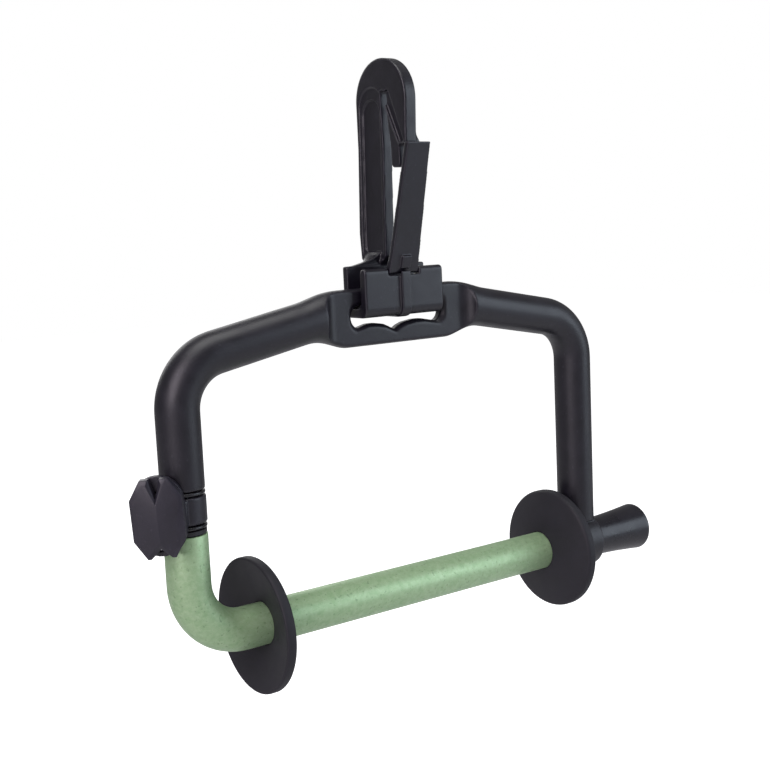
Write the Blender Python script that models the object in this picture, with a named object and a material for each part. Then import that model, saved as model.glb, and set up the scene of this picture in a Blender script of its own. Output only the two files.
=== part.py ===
"""Line spool dispenser: a black arch on a swivelling hook, with a green bar that swings open to take spools.

Metres, +Z up. The object hangs from its hook, so the origin is the top of the hook's throat.
Heights below are measured up from the swing bar's axis, and an empty moves them to the origin.
-Y is the front, the side of the hook's gate and of the line cutter's cover.
"""
from math import cos, pi, radians, sin

import bmesh
import bpy
from mathutils import Matrix, Vector

GAP = 0.0003                    # between pieces that touch or seat
SIDES = 32                      # sides of a large round piece
SMALL_SIDES = 20                # sides of a small round piece

# Frame
HALF_SPAN = 0.0605              # from the frame's middle to an arm's axis
ARM_RADIUS = 0.0050
CORNER_START = 0.0521           # height where an arm begins to bend
CORNER_RADIUS = 0.0126          # of the arm's axis
ARCH_SLOPE = radians(10.6)
EYE_BLEND_START = 0.0275        # from the frame's middle, where the arch begins to grow taller
EYE_BLEND_END = 0.0150
EYE_RISE = 0.00026              # of the eye's middle, above the arch where it begins to grow
EYE_HALF_HEIGHT = 0.0070
EYE_HALF_DEPTH = 0.0019         # between the two flats
FLAT_HALF_LENGTH = 0.0187
FLAT_COVE = 0.0040              # radius of the scoop at each end of a flat
LEFT_ARM_END = 0.0351
SLOT_HALF_LENGTH = 0.0138
SLOT_ABOVE = 0.0030             # from the eye's middle to the slot's top
SLOT_BELOW = 0.0026             # and to its low ends
SLOT_HUMP = 0.0010              # rise of the two humps
SLOT_NOTCH = 0.0009             # depth of the middle notch under the slot's low ends
SLOT_CHAMFER = 0.0009
SLOT_CORNER = 0.0014            # of the slot's upper right corner; its left end is a half round
# Shares of the slot's half length and of the hump's rise, from the right end to the left
SLOT_FLOOR = ((0.73, 0.5), (0.55, 1.0), (0.36, 1.0), (0.16, 0.6), (0.04, 0.0), (-0.07, -1.0),
              (-0.20, 0.0), (-0.30, 0.6), (-0.48, 1.0), (-0.64, 1.0), (-0.78, 0.5))

# Cradle at the foot of the right arm
CRADLE_WALL = 0.0020
CRADLE_WIDTH = 0.0084
CRADLE_EDGE = 0.0006
CRADLE_LIP = 0.0035             # how far its lips reach behind the bar's axis

# Middle of the eye, which carries the hook: all heights of the hook follow it
ARCH_RUN = HALF_SPAN - CORNER_RADIUS * (1 - sin(ARCH_SLOPE)) - EYE_BLEND_START
CORNER_TOP = CORNER_START + CORNER_RADIUS * cos(ARCH_SLOPE)
EYE_HEIGHT = CORNER_TOP + ARCH_RUN * sin(ARCH_SLOPE) / cos(ARCH_SLOPE) + EYE_RISE

# Hook
HOOK_THICKNESS = 0.0035
HEAD_RADIUS = 0.01005
HEAD_CENTRE = (0.0, EYE_HEIGHT + 0.05145)
THROAT_RADIUS = 0.00085
THROAT_CENTRE = (-0.00060, EYE_HEIGHT + 0.05300)
NOSE_DEPTH = 0.0035             # from the head's front to the tongue
NOSE_EDGE = 0.0005
TONGUE_END = EYE_HEIGHT + 0.0354
TONGUE_DEPTH = 0.0032
TONGUE_EDGE = 0.0006
SHOULDER = EYE_HEIGHT + 0.0407
SHANK_BACK_TOP = 0.0100
SHANK_BACK_FOOT = 0.0111
SHANK_FOOT = EYE_HEIGHT + 0.0200
SHANK_NECK = 0.0066             # height of the step from the shank's back to the foot
SHANK_EASE = 0.0005             # how far the shank has drawn in below that step
SHANK_FRONT = -0.0002
SHANK_FRONT_FOOT = 0.0007
RIM = 0.0012
STEP_DEPTH = 0.0004             # of the shallow step inside the rim
STEP_TOP = HEAD_CENTRE[1] + 0.0036
STEP_FRONT = -0.0010            # front of the arch in which the step ends above
POCKET_DEPTH = 0.0009           # of the panel and the nose's strip, from the hook's side
PANEL_TOP = HEAD_CENTRE[1] + 0.0007
PANEL_RIM = 0.0020              # behind the panel
PANEL_FRONT_RIM = 0.0010
STRIP_WIDTH = 0.0022            # of the sunk strip along the nose
LUG_HEIGHT = 0.0034             # of the small wedge on the nose's right side
LUG_OUT = 0.0012

# Foot of the hook, a U round the eye's upper bar
FOOT_HALF_WIDTH = 0.01185
FOOT_PLAY = 0.0008              # between the eye's upper bar and the floor of the U
FOOT_WALL = 0.0023
FOOT_BOTTOM = EYE_HEIGHT + SLOT_ABOVE - FOOT_PLAY - FOOT_WALL
FOOT_FRONT = -0.0048
FOOT_FRONT_RADIUS = 0.0022
FOOT_SLOT_FRONT = -0.00255
FOOT_SLOT_BACK = 0.00255
FOOT_BACK = 0.0045
FOOT_BACK_RADIUS = 0.0026
FOOT_FLAT = 0.0006              # half of the flat in the middle of the U's floor
FRONT_LEG_TOP = EYE_HEIGHT + 0.0116
BACK_LEG_TOP = EYE_HEIGHT + 0.0123
FLARE_HEIGHT = 0.0034           # of the gussets from the back leg up to the shank
LEG_OVERLAP = 0.0020            # how far the shank and its flare run down into the back leg
RIB_WIDTH = 0.0027
RIB_DEPTH = 0.0008
RIB_ROOT = 0.0010               # how far the rib is sunk in its leg

# Gate of the hook
GATE_PIVOT = (-0.00380, EYE_HEIGHT + 0.0110)
GATE_BARREL = 0.00095
GATE_TOP = EYE_HEIGHT + 0.0409
GATE_TOP_FRONT = -0.01275
GATE_KNEE = EYE_HEIGHT + 0.0154
GATE_KNEE_FRONT = -0.0061
GATE_SWELL = 0.3                # where its width at the knee lies between root and top
RIB_SPLIT = GATE_PIVOT[1] - 0.0004
RIB_PART = 0.0007               # between the foot's rib and the gate's
RIB_TOP = GATE_KNEE - 0.0011
GATE_DEPTH = 0.0015
GATE_ROOT_WIDTH = 0.0087
GATE_TOP_WIDTH = 0.0067

# Swing bar, a tube
TUBE_RADIUS = 0.0050
TUBE_WALL = 0.0010
ELBOW_RADIUS = 0.0131
TUBE_TO_ARM = 0.0065            # from the tube's open end to the right arm's axis

# Pivot in the left arm
BOLT_RADIUS = 0.0015
BOLT_HEAD_RADIUS = 0.00275
BOLT_HEAD_HEIGHT = 0.0024
WASHER_RADIUS = 0.0034
WASHER_THICKNESS = 0.0006
BUSH_LENGTH = 0.0080
BUSH_FLANGE = 0.0009
RING_THICKNESS = 0.0008
COLLAR_RADIUS = 0.0051
COLLAR_LENGTH = 0.0062
INSERT_RADIUS = 0.0026
INSERT_LENGTH = 0.0076
BOLT_END_ROOM = 0.0006

# Line cutter on the collar
CUTTER_TURN = radians(-34)      # its face looks to the front and a little left
CUTTER_SHIFT = -0.0044          # its middle, sideways from the pivot's axis
CUTTER_RISE = 0.0001            # its middle, above the collar's
CUTTER_LEAN = radians(3.0)      # its top leans to the left, seen from the front
PLATE_HALF_WIDTH = 0.0056
PLATE_HALF_HEIGHT = 0.0089
PLATE_THICKNESS = 0.0018
COVER_WIDTH = 0.0113
COVER_HEIGHT = 0.0174
COVER_THICKNESS = 0.0033
COVER_CORNER_WIDTH = 0.0026
COVER_CORNER_HEIGHT = 0.0042
COVER_BEVEL = 0.0011
TOP_NOTCH = (0.0012, 0.0044)    # half width and depth
BOTTOM_NOTCH = (0.0023, 0.0021)
BLADE_WIDTH = 0.0042
BLADE_THICKNESS = 0.0004
BLADE_SHOW = 0.0008             # how far the blade's edges stand into the notches
CUTTER_SCREW_RADIUS = 0.0008
CUTTER_SCREW_HEAD = 0.0015
CUTTER_SCREW_OUT = 0.0040       # from the cutter's middle
CUTTER_SCREW_GRIP = 0.0020      # how far it goes into the cover
CUTTER_SCREW_DISH = 0.0009      # height of its head
SCREW_SIDES = 16

# Spool discs
DISC_RADIUS = 0.0161
DISC_THICKNESS = 0.0027
DISC_EDGE = 0.0006
DISC_DISH = 0.0032              # how far a disc's middle stands out towards the spools
LEFT_DISC_PLACE = 0.0148        # its outer face, from the left arm's axis
RIGHT_DISC_PLACE = 0.0110       # its inner face, from the right arm's axis

# Plug in the tube's open end
PLUG_SPIGOT = 0.0120
PLUG_NECK_RADIUS = 0.00535
PLUG_NECK_START = 0.0052        # from the right arm's axis
PLUG_END = 0.0235
PLUG_END_RADIUS = 0.0065
PLUG_EDGE = 0.0007
PLUG_RING_DEPTH = 0.0007
PLUG_RING_WIDTH = 0.0012

# Worked out
SLOT_TOP = EYE_HEIGHT + SLOT_ABOVE
SLOT_BOTTOM = EYE_HEIGHT - SLOT_BELOW
LEFT_ARM = -HALF_SPAN
RIGHT_ARM = HALF_SPAN
UPPER_RING_TOP = LEFT_ARM_END - GAP
COLLAR_TOP = UPPER_RING_TOP - RING_THICKNESS - GAP
COLLAR_BOTTOM = COLLAR_TOP - COLLAR_LENGTH
LOWER_RING_TOP = COLLAR_BOTTOM - GAP
FLANGE_TOP = LOWER_RING_TOP - RING_THICKNESS - GAP
TUBE_TOP = FLANGE_TOP - BUSH_FLANGE - GAP
BUSH_BOTTOM = TUBE_TOP - BUSH_LENGTH
WASHER_TOP = BUSH_BOTTOM - GAP
HEAD_TOP = WASHER_TOP - WASHER_THICKNESS - GAP
BORE_RADIUS = BOLT_RADIUS + GAP
TUBE_BORE = TUBE_RADIUS - TUBE_WALL
TUBE_END = RIGHT_ARM - TUBE_TO_ARM
CRADLE_BORE = TUBE_RADIUS + GAP
PLATE_BACK = ARM_RADIUS + GAP
PLATE_FRONT = PLATE_BACK + PLATE_THICKNESS
COVER_BACK = PLATE_FRONT + GAP
ORIGIN = Vector((0.0, THROAT_CENTRE[0], THROAT_CENTRE[1] + THROAT_RADIUS))

MATERIALS = {
    "black_plastic": ((0.020, 0.020, 0.026), 0.38, 0.0),
    "cutter_plastic": ((0.024, 0.023, 0.030), 0.45, 0.0),
    "plug_plastic": ((0.018, 0.018, 0.022), 0.35, 0.0),
    "disc_rubber": ((0.026, 0.026, 0.030), 0.70, 0.0),
    "ring_rubber": ((0.010, 0.010, 0.011), 0.55, 0.0),
    "green_aluminium": ((0.20, 0.36, 0.17), 0.42, 0.85),
    "brass": ((0.55, 0.42, 0.18), 0.35, 1.0),
    "steel": ((0.50, 0.51, 0.52), 0.30, 1.0),
    "blade_steel": ((0.60, 0.61, 0.62), 0.22, 1.0),
    "bush_plastic": ((0.030, 0.030, 0.032), 0.50, 0.0),
}


def clear_scene():
    for old in list(bpy.data.objects):
        bpy.data.objects.remove(old, do_unlink=True)


def make_material(name):
    colour, roughness, metallic = MATERIALS[name]
    material = bpy.data.materials.new(name)
    material.use_nodes = True
    shader = material.node_tree.nodes["Principled BSDF"]
    shader.inputs["Base Color"].default_value = (*colour, 1.0)
    shader.inputs["Roughness"].default_value = roughness
    shader.inputs["Metallic"].default_value = metallic
    return material


def make_empty(name, place, parent=None):
    empty = bpy.data.objects.new(name, None)
    empty.location = place
    empty.parent = parent
    bpy.context.collection.objects.link(empty)
    return empty


def finish_mesh(name, bm, material=None, smooth=True):
    """Turn a bmesh into an object of the scene, its faces pointing out."""
    bmesh.ops.remove_doubles(bm, verts=bm.verts, dist=1e-7)
    bmesh.ops.recalc_face_normals(bm, faces=bm.faces)
    mesh = bpy.data.meshes.new(name)
    bm.to_mesh(mesh)
    bm.free()
    if smooth:
        mesh.shade_smooth()
        mesh.set_sharp_from_angle(angle=radians(35))
    piece = bpy.data.objects.new(name, mesh)
    bpy.context.collection.objects.link(piece)
    if material:
        mesh.materials.append(material)
    return piece


def set_place(piece, anchor, parent):
    """Put a piece's origin at an anchor, with its shape where it was, and hang it on a parent."""
    piece.data.transform(Matrix.Translation(-Vector(anchor)))
    piece.parent = parent
    piece.location = Vector(anchor)


def as_guide(piece):
    piece.hide_render = True
    piece.display_type = "WIRE"


def combine(piece, other, operation):
    """Cut another shape from a piece, or join it on, and keep the other as a guide."""
    modifier = piece.modifiers.new(other.name, "BOOLEAN")
    modifier.operation = operation
    modifier.solver = "EXACT"
    modifier.object = other
    as_guide(other)


def close_seams(piece):
    """Merge the points that the cuts and joins left on top of each other."""
    weld = piece.modifiers.new("seams", "WELD")
    weld.merge_threshold = GAP / 200


def soften(piece, width, segments=2, angle=40):
    modifier = piece.modifiers.new("edges", "BEVEL")
    modifier.width = width
    modifier.segments = segments
    modifier.limit_method = "ANGLE"
    modifier.angle_limit = radians(angle)
    modifier.use_clamp_overlap = True


def arc(centre, radius, start, end, steps):
    """Points of an arc, from one angle in degrees to another."""
    points = []
    for i in range(steps + 1):
        angle = radians(start + (end - start) * i / steps)
        points.append((centre[0] + radius * cos(angle), centre[1] + radius * sin(angle)))
    return points


def plate(name, outline, low, high, axis, material=None, smooth=False):
    """Extrude an outline along an axis. Its points are (y, z) for X, (x, z) for Y and (x, y) for Z."""
    bm = bmesh.new()
    corners = []
    for a, b in outline:
        place = {"X": (low, a, b), "Y": (a, low, b), "Z": (a, b, low)}[axis]
        corners.append(bm.verts.new(place))
    face = bm.faces.new(corners)
    grown = bmesh.ops.extrude_face_region(bm, geom=[face])
    moved = [item for item in grown["geom"] if isinstance(item, bmesh.types.BMVert)]
    step = Vector((0, 0, 0))
    step["XYZ".index(axis)] = high - low
    bmesh.ops.translate(bm, verts=moved, vec=step)
    return finish_mesh(name, bm, material, smooth)


def turned(name, profile, closed, axis, centre, material=None, sides=SIDES):
    """Spin a profile of (radius, distance along the axis) round X, Y or Z through a centre."""
    bm = bmesh.new()
    dots = [bm.verts.new((radius, 0.0, along)) for radius, along in profile]
    edges = [bm.edges.new(pair) for pair in zip(dots, dots[1:])]
    if closed:
        edges.append(bm.edges.new((dots[-1], dots[0])))
    bmesh.ops.spin(bm, geom=dots + edges, angle=2 * pi, steps=sides, axis=(0, 0, 1), cent=(0, 0, 0),
                   use_merge=True)
    turn = {"X": Matrix.Rotation(pi / 2, 4, "Y"), "Y": Matrix.Rotation(-pi / 2, 4, "X"),
            "Z": Matrix.Identity(4)}
    bm.transform(Matrix.Translation(Vector(centre)) @ turn[axis])
    return finish_mesh(name, bm, material)


def rod(name, radius, low, high, axis, centre, material=None, sides=SMALL_SIDES, edge=0.0):
    """A solid round bar along an axis, its ends chamfered by edge."""
    profile = [(0.0, low), (radius - edge, low)]
    if edge:
        profile += [(radius, low + edge), (radius, high - edge)]
    profile += [(radius - edge, high), (0.0, high)]
    if not edge:
        profile = [(0.0, low), (radius, low), (radius, high), (0.0, high)]
    return turned(name, profile, False, axis, centre, material, sides)


def ring(name, inner, outer, low, high, axis, centre, material=None, edge=0.0, sides=SMALL_SIDES):
    """A round ring along an axis, its outer corners chamfered by edge."""
    profile = [(inner, low), (outer - edge, low)]
    if edge:
        profile += [(outer, low + edge), (outer, high - edge)]
    profile += [(outer - edge, high), (inner, high)]
    if not edge:
        profile = [(inner, low), (outer, low), (outer, high), (inner, high)]
    return turned(name, profile, True, axis, centre, material, sides)


def loft(name, rings, material=None):
    """Skin a list of closed rings that have as many points each, and close both ends."""
    bm = bmesh.new()
    loops = []
    for points in rings:
        loops.append([bm.verts.new(point) for point in points])
    count = len(loops[0])
    for here, there in zip(loops, loops[1:]):
        for i in range(count):
            j = (i + 1) % count
            bm.faces.new((here[i], here[j], there[j], there[i]))
    bm.faces.new(loops[0])
    bm.faces.new(loops[-1])
    return finish_mesh(name, bm, material)


def box(name, low, high, material=None):
    """A plain box between two corners."""
    outline = [(low[1], low[2]), (high[1], low[2]), (high[1], high[2]), (low[1], high[2])]
    return plate(name, outline, low[0], high[0], "X", material)


def eased(share):
    """A share from 0 to 1, with a soft start and end."""
    share = min(1.0, max(0.0, share))
    return share * share * (3 - 2 * share)


def arch_path():
    """Points and headings of the frame's axis, from the left arm's foot to the middle of the eye."""
    centre = (-HALF_SPAN + CORNER_RADIUS, CORNER_START)
    steps = 10
    path = [((-HALF_SPAN, LEFT_ARM_END), pi / 2)]
    for i in range(steps + 1):
        turn = (pi / 2 - ARCH_SLOPE) * i / steps
        place = (centre[0] - CORNER_RADIUS * cos(turn), centre[1] + CORNER_RADIUS * sin(turn))
        path.append((place, pi / 2 - turn))
    top = path[-1][0]
    for i in range(1, 6):
        across = top[0] + (-EYE_BLEND_START - top[0]) * i / 5
        height = top[1] + (across - top[0]) * sin(ARCH_SLOPE) / cos(ARCH_SLOPE)
        path.append(((across, height), ARCH_SLOPE))
    start = path[-1][0]
    for i in range(1, 6):
        share = i / 5
        across = start[0] + (-EYE_BLEND_END - start[0]) * share
        straight = start[1] + (across - start[0]) * sin(ARCH_SLOPE) / cos(ARCH_SLOPE)
        height = straight + (EYE_HEIGHT - straight) * eased(share)
        path.append(((across, height), ARCH_SLOPE * (1 - share)))
    path.append(((0.0, EYE_HEIGHT), 0.0))
    return path


def arch_section(place, heading):
    """The frame's section at a point of its axis: round in the arms, taller at the eye."""
    ease = eased((place[0] + EYE_BLEND_START) / (EYE_BLEND_START - EYE_BLEND_END))
    tall = ARM_RADIUS + (EYE_HALF_HEIGHT - ARM_RADIUS) * ease
    points = []
    for i in range(SIDES):
        angle = 2 * pi * i / SIDES
        across = tall * cos(angle)
        depth = ARM_RADIUS * sin(angle)
        points.append((place[0] - across * sin(heading), depth, place[1] + across * cos(heading)))
    return points


def flat_outline(side):
    """Outline (x, y) of what is cut from the eye's front or back: a flat that ends in two scoops."""
    beyond = ARM_RADIUS + FLAT_COVE
    deep = EYE_HALF_DEPTH + FLAT_COVE
    right = arc((FLAT_HALF_LENGTH, -deep), FLAT_COVE, 90, 0, 8)
    points = [(-x, y) for x, y in reversed(right)] + right
    points += [(FLAT_HALF_LENGTH + FLAT_COVE, -beyond), (-FLAT_HALF_LENGTH - FLAT_COVE, -beyond)]
    return [(x, -side * y) for x, y in points]


def slot_outline(grow):
    """Outline (x, z) of the eye's slot, grown outwards by a distance."""
    end = SLOT_HALF_LENGTH + grow
    low = SLOT_BOTTOM - grow
    top = SLOT_TOP + grow
    corner = (SLOT_TOP - SLOT_BOTTOM) / 2
    points = arc((end - SLOT_CORNER, top - SLOT_CORNER), SLOT_CORNER, 0, 90, 6)
    points += arc((-end + corner, top - corner), corner, 90, 180, 6)
    points += arc((-end + corner, low + corner), corner, 180, 250, 4)
    for share, rise in reversed(SLOT_FLOOR):
        points.append((end * share, low + rise * (SLOT_HUMP if rise > 0 else SLOT_NOTCH)))
    points += arc((end - corner, low + corner), corner, 290, 350, 4)
    return points


def make_frame(material, parent):
    """The arch, with the eye at its middle and the cradle at the right arm's foot."""
    left = arch_path()
    rings = [arch_section(place, heading) for place, heading in left]
    for points in reversed(rings[:-1]):
        rings.append([(-x, y, z) for x, y, z in points])
    foot = CRADLE_BORE + CRADLE_WALL / 2
    rings[-1] = [(x, y, foot) for x, y, z in rings[-1]]
    frame = loft("frame", rings, material)

    outer = CRADLE_BORE + CRADLE_WALL
    hub = rod("cradle_shape", outer, -CRADLE_WIDTH / 2, CRADLE_WIDTH / 2, "X", (RIGHT_ARM, 0, 0), None,
              SIDES, CRADLE_EDGE)
    hub.data.transform(Matrix.Rotation(pi / SIDES, 4, "X"))
    combine(frame, hub, "UNION")
    reach = outer * 2
    outline = arc((0, 0), CRADLE_BORE, 90, 270, SIDES // 2)
    outline += [(CRADLE_LIP, -CRADLE_BORE), (CRADLE_LIP, -reach), (reach, -reach), (reach, CRADLE_BORE)]
    mouth = plate("cradle_mouth", outline, RIGHT_ARM - reach, RIGHT_ARM + reach, "X")
    combine(frame, mouth, "DIFFERENCE")

    for name, side in (("eye_front", 1), ("eye_back", -1)):
        low = EYE_HEIGHT - 2 * EYE_HALF_HEIGHT
        high = EYE_HEIGHT + 2 * EYE_HALF_HEIGHT
        flat = plate(name, flat_outline(side), low, high, "Z")
        combine(frame, flat, "DIFFERENCE")

    edge = EYE_HALF_DEPTH - SLOT_CHAMFER
    beyond = EYE_HALF_DEPTH + GAP
    grown = SLOT_CHAMFER + GAP
    rings = []
    for depth, grow in ((-beyond, grown), (-edge, 0.0), (edge, 0.0), (beyond, grown)):
        rings.append([(x, depth, z) for x, z in slot_outline(grow)])
    slot = loft("eye_slot", rings)
    combine(frame, slot, "DIFFERENCE")

    deep = LEFT_ARM_END + GAP + INSERT_LENGTH + GAP + BOLT_END_ROOM
    hole = rod("insert_hole", INSERT_RADIUS + GAP, LEFT_ARM_END - 2 * GAP, deep, "Z", (LEFT_ARM, 0, 0))
    combine(frame, hole, "DIFFERENCE")
    close_seams(frame)
    set_place(frame, (0, 0, eye_bar_height()), parent)
    return frame


def eye_bar_height():
    """Height of the middle of the eye's upper bar, on which the frame swings."""
    return (SLOT_TOP + EYE_HEIGHT + EYE_HALF_HEIGHT) / 2


def head_outline():
    """Outline (y, z) of the hook's head, tongue and shank, with the throat."""
    head_y, head_z = HEAD_CENTRE
    throat_y, throat_z = THROAT_CENTRE
    tongue_front = head_y - HEAD_RADIUS + NOSE_DEPTH
    tongue_back = tongue_front + TONGUE_DEPTH
    leg = BACK_LEG_TOP - LEG_OVERLAP
    points = [(FOOT_SLOT_BACK, leg), (FOOT_SLOT_BACK, BACK_LEG_TOP)]
    points += [(SHANK_FRONT_FOOT, BACK_LEG_TOP + LEG_OVERLAP), (SHANK_FRONT, SHOULDER)]
    points += arc((throat_y, throat_z), THROAT_RADIUS, 0, 155, 6)
    points += [(tongue_back, SHOULDER - TONGUE_EDGE), (tongue_back, TONGUE_END + TONGUE_EDGE)]
    points += [(tongue_back - TONGUE_EDGE, TONGUE_END), (tongue_front + TONGUE_EDGE, TONGUE_END)]
    points += [(tongue_front, TONGUE_END + TONGUE_EDGE), (tongue_front, SHOULDER)]
    points += [(head_y - HEAD_RADIUS + NOSE_EDGE, SHOULDER)]
    points += arc((head_y, head_z), HEAD_RADIUS, 183, -3, 22)
    neck = SHANK_FOOT - SHANK_NECK
    points += [(SHANK_BACK_TOP, SHOULDER), (SHANK_BACK_FOOT, SHANK_FOOT)]
    points += [(SHANK_BACK_FOOT - SHANK_EASE, neck)]
    points += [((SHANK_BACK_FOOT + FOOT_BACK) / 2, (neck + BACK_LEG_TOP) / 2), (FOOT_BACK, BACK_LEG_TOP)]
    points += [(FOOT_BACK, leg)]
    return points


def foot_outline():
    """Outline (y, z) of the U under the shank."""
    bend = (FOOT_SLOT_BACK - FOOT_SLOT_FRONT) / 2 - FOOT_FLAT
    inner = FOOT_BOTTOM + FOOT_WALL
    front = FOOT_FRONT_RADIUS
    back = FOOT_BACK_RADIUS
    points = [(FOOT_FRONT, FRONT_LEG_TOP)]
    points += arc((FOOT_FRONT + front, FOOT_BOTTOM + front), front, 180, 270, 6)
    points += arc((FOOT_BACK - back, FOOT_BOTTOM + back), back, 270, 360, 8)
    points += [(FOOT_BACK, BACK_LEG_TOP), (FOOT_SLOT_BACK, BACK_LEG_TOP)]
    points += arc((FOOT_SLOT_BACK - bend, inner + bend), bend, 0, -90, 6)
    points += arc((FOOT_SLOT_FRONT + bend, inner + bend), bend, 270, 180, 6)
    points += [(FOOT_SLOT_FRONT, FRONT_LEG_TOP)]
    return points


def flare_rings():
    """Rings of the gussets that sweep from the back leg's ends up to the shank's back."""
    half = HOOK_THICKNESS / 2 - STEP_DEPTH
    widest = FOOT_HALF_WIDTH - GAP
    front = FOOT_SLOT_BACK + GAP
    near = FOOT_BACK - GAP
    far = SHANK_BACK_FOOT - SHANK_EASE - GAP
    corners = [(-widest, front), (widest, front), (widest, near), (half, near), (-half, near)]
    corners += [(-widest, near)]
    rings = [[(x, y, BACK_LEG_TOP - LEG_OVERLAP) for x, y in corners]]
    for share in (0.0, 0.15, 0.35, 0.6, 1.0):
        wide = half + GAP + (widest - half - GAP) * (1 - share) ** 2
        height = BACK_LEG_TOP - GAP + FLARE_HEIGHT * share
        corners = [(-wide, front), (wide, front), (wide, near), (half, far), (-half, far), (-wide, near)]
        rings.append([(x, y, height) for x, y in corners])
    return rings


def step_outline():
    """Outline (y, z) of the shallow step inside the rim: the shank's side, an arch, and the tongue's."""
    tongue_front = HEAD_CENTRE[0] - HEAD_RADIUS + NOSE_DEPTH
    before = SHANK_FRONT - RIM
    foot = BACK_LEG_TOP + RIM
    radius = (SHANK_BACK_TOP - RIM - STEP_FRONT) / 2
    points = [(before, foot), (SHANK_BACK_FOOT - 2 * RIM, foot), (SHANK_BACK_FOOT - RIM, foot + RIM)]
    points += [(SHANK_BACK_FOOT - RIM, SHANK_FOOT)]
    points += arc((STEP_FRONT + radius, STEP_TOP - radius), radius, 0, 145, 14)
    points += [(tongue_front, SHOULDER), (tongue_front, TONGUE_END - GAP), (before, TONGUE_END - GAP)]
    return points


def panel_outline():
    """Outline (y, z) of the deeper panel in the shank's side."""
    front = SHANK_FRONT + PANEL_FRONT_RIM
    back = SHANK_BACK_TOP - PANEL_RIM
    radius = (back - front) / 2
    foot = BACK_LEG_TOP + LEG_OVERLAP + RIM / 2
    deep_back = SHANK_BACK_FOOT - PANEL_RIM
    points = [(SHANK_FRONT_FOOT + PANEL_FRONT_RIM, foot), (deep_back - RIM, foot), (deep_back, foot + RIM)]
    points += [(deep_back, SHANK_FOOT)]
    points += arc(((front + back) / 2, PANEL_TOP - radius), radius, 0, 180, 12)
    return points


def strip_outline():
    """Outline (y, z) of the sunk strip that runs down the nose in front of the step."""
    tongue_front = HEAD_CENTRE[0] - HEAD_RADIUS + NOSE_DEPTH
    top = THROAT_CENTRE[1] + THROAT_RADIUS
    low = SHOULDER + NOSE_EDGE
    return [(STEP_FRONT + NOSE_EDGE, top - NOSE_EDGE), (tongue_front, low), (tongue_front - STRIP_WIDTH, low),
            (STEP_FRONT - STRIP_WIDTH, top)]


def make_hook(material, parent):
    """The J of the hook on its U-shaped foot."""
    half = HOOK_THICKNESS / 2
    hook = plate("hook_body", head_outline(), -half, half, "X", material)
    soften(hook, 0.0004, 2, 50)
    nose_front = HEAD_CENTRE[0] - HEAD_RADIUS
    wedge = [(half - STEP_DEPTH, SHOULDER + LUG_HEIGHT), (half - STEP_DEPTH, SHOULDER)]
    wedge += [(half + LUG_OUT, SHOULDER), (half + LUG_OUT, SHOULDER + NOSE_EDGE)]
    lug = plate("nose_lug", wedge, nose_front + NOSE_EDGE + GAP, nose_front + NOSE_EDGE + RIM, "Y")
    combine(hook, lug, "UNION")
    for name, outline, deep in (("side_step", step_outline(), STEP_DEPTH),
                                ("shank_panel", panel_outline(), POCKET_DEPTH),
                                ("nose_strip", strip_outline(), POCKET_DEPTH)):
        for side in (-1, 1):
            ends = sorted((side * (half - deep), side * (half + 2 * GAP)))
            pocket = plate(f"{name}_{side + 1}", outline, ends[0], ends[1], "X")
            combine(hook, pocket, "DIFFERENCE")
    foot = plate("foot_shape", foot_outline(), -FOOT_HALF_WIDTH, FOOT_HALF_WIDTH, "X")
    soften(foot, 0.0003, 2, 50)
    combine(hook, foot, "UNION")
    flare = loft("flare_shape", flare_rings())
    combine(hook, flare, "UNION")
    rib_front = FOOT_FRONT - RIB_DEPTH
    rib_low = FOOT_BOTTOM - RIB_DEPTH / 2
    rib_end = FOOT_BACK - FOOT_BACK_RADIUS
    bend = FOOT_FRONT_RADIUS + RIB_DEPTH / 2
    within = FOOT_BOTTOM + FOOT_WALL / 2
    outline = [(FOOT_FRONT + RIB_ROOT, RIB_SPLIT), (rib_front, RIB_SPLIT)]
    outline += arc((rib_front + bend, rib_low + bend), bend, 180, 270, 6)
    outline += [(rib_end, rib_low), (rib_end, within), (FOOT_FRONT + FOOT_FRONT_RADIUS, within)]
    outline += [(FOOT_FRONT + RIB_ROOT, FOOT_BOTTOM + FOOT_FRONT_RADIUS)]
    rib = plate("rib_shape", outline, -RIB_WIDTH / 2, RIB_WIDTH / 2, "X")
    combine(hook, rib, "UNION")
    room = GATE_ROOT_WIDTH / 2 + GAP
    pivot_y, pivot_z = GATE_PIVOT
    floor = pivot_z - GATE_BARREL - GAP
    notch_front = FOOT_FRONT - 2 * RIB_DEPTH
    notch = box("gate_notch", (-room, notch_front, floor), (room, FOOT_SLOT_FRONT + GAP, FRONT_LEG_TOP + GAP))
    keep_low = (-RIB_WIDTH, notch_front - RIB_DEPTH, floor - RIB_DEPTH)
    keep = box("gate_notch_keep", keep_low, (RIB_WIDTH, FOOT_FRONT - GAP, RIB_SPLIT))
    combine(notch, keep, "DIFFERENCE")
    combine(hook, notch, "DIFFERENCE")
    close_seams(hook)
    set_place(hook, ORIGIN, parent)
    return hook


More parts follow.
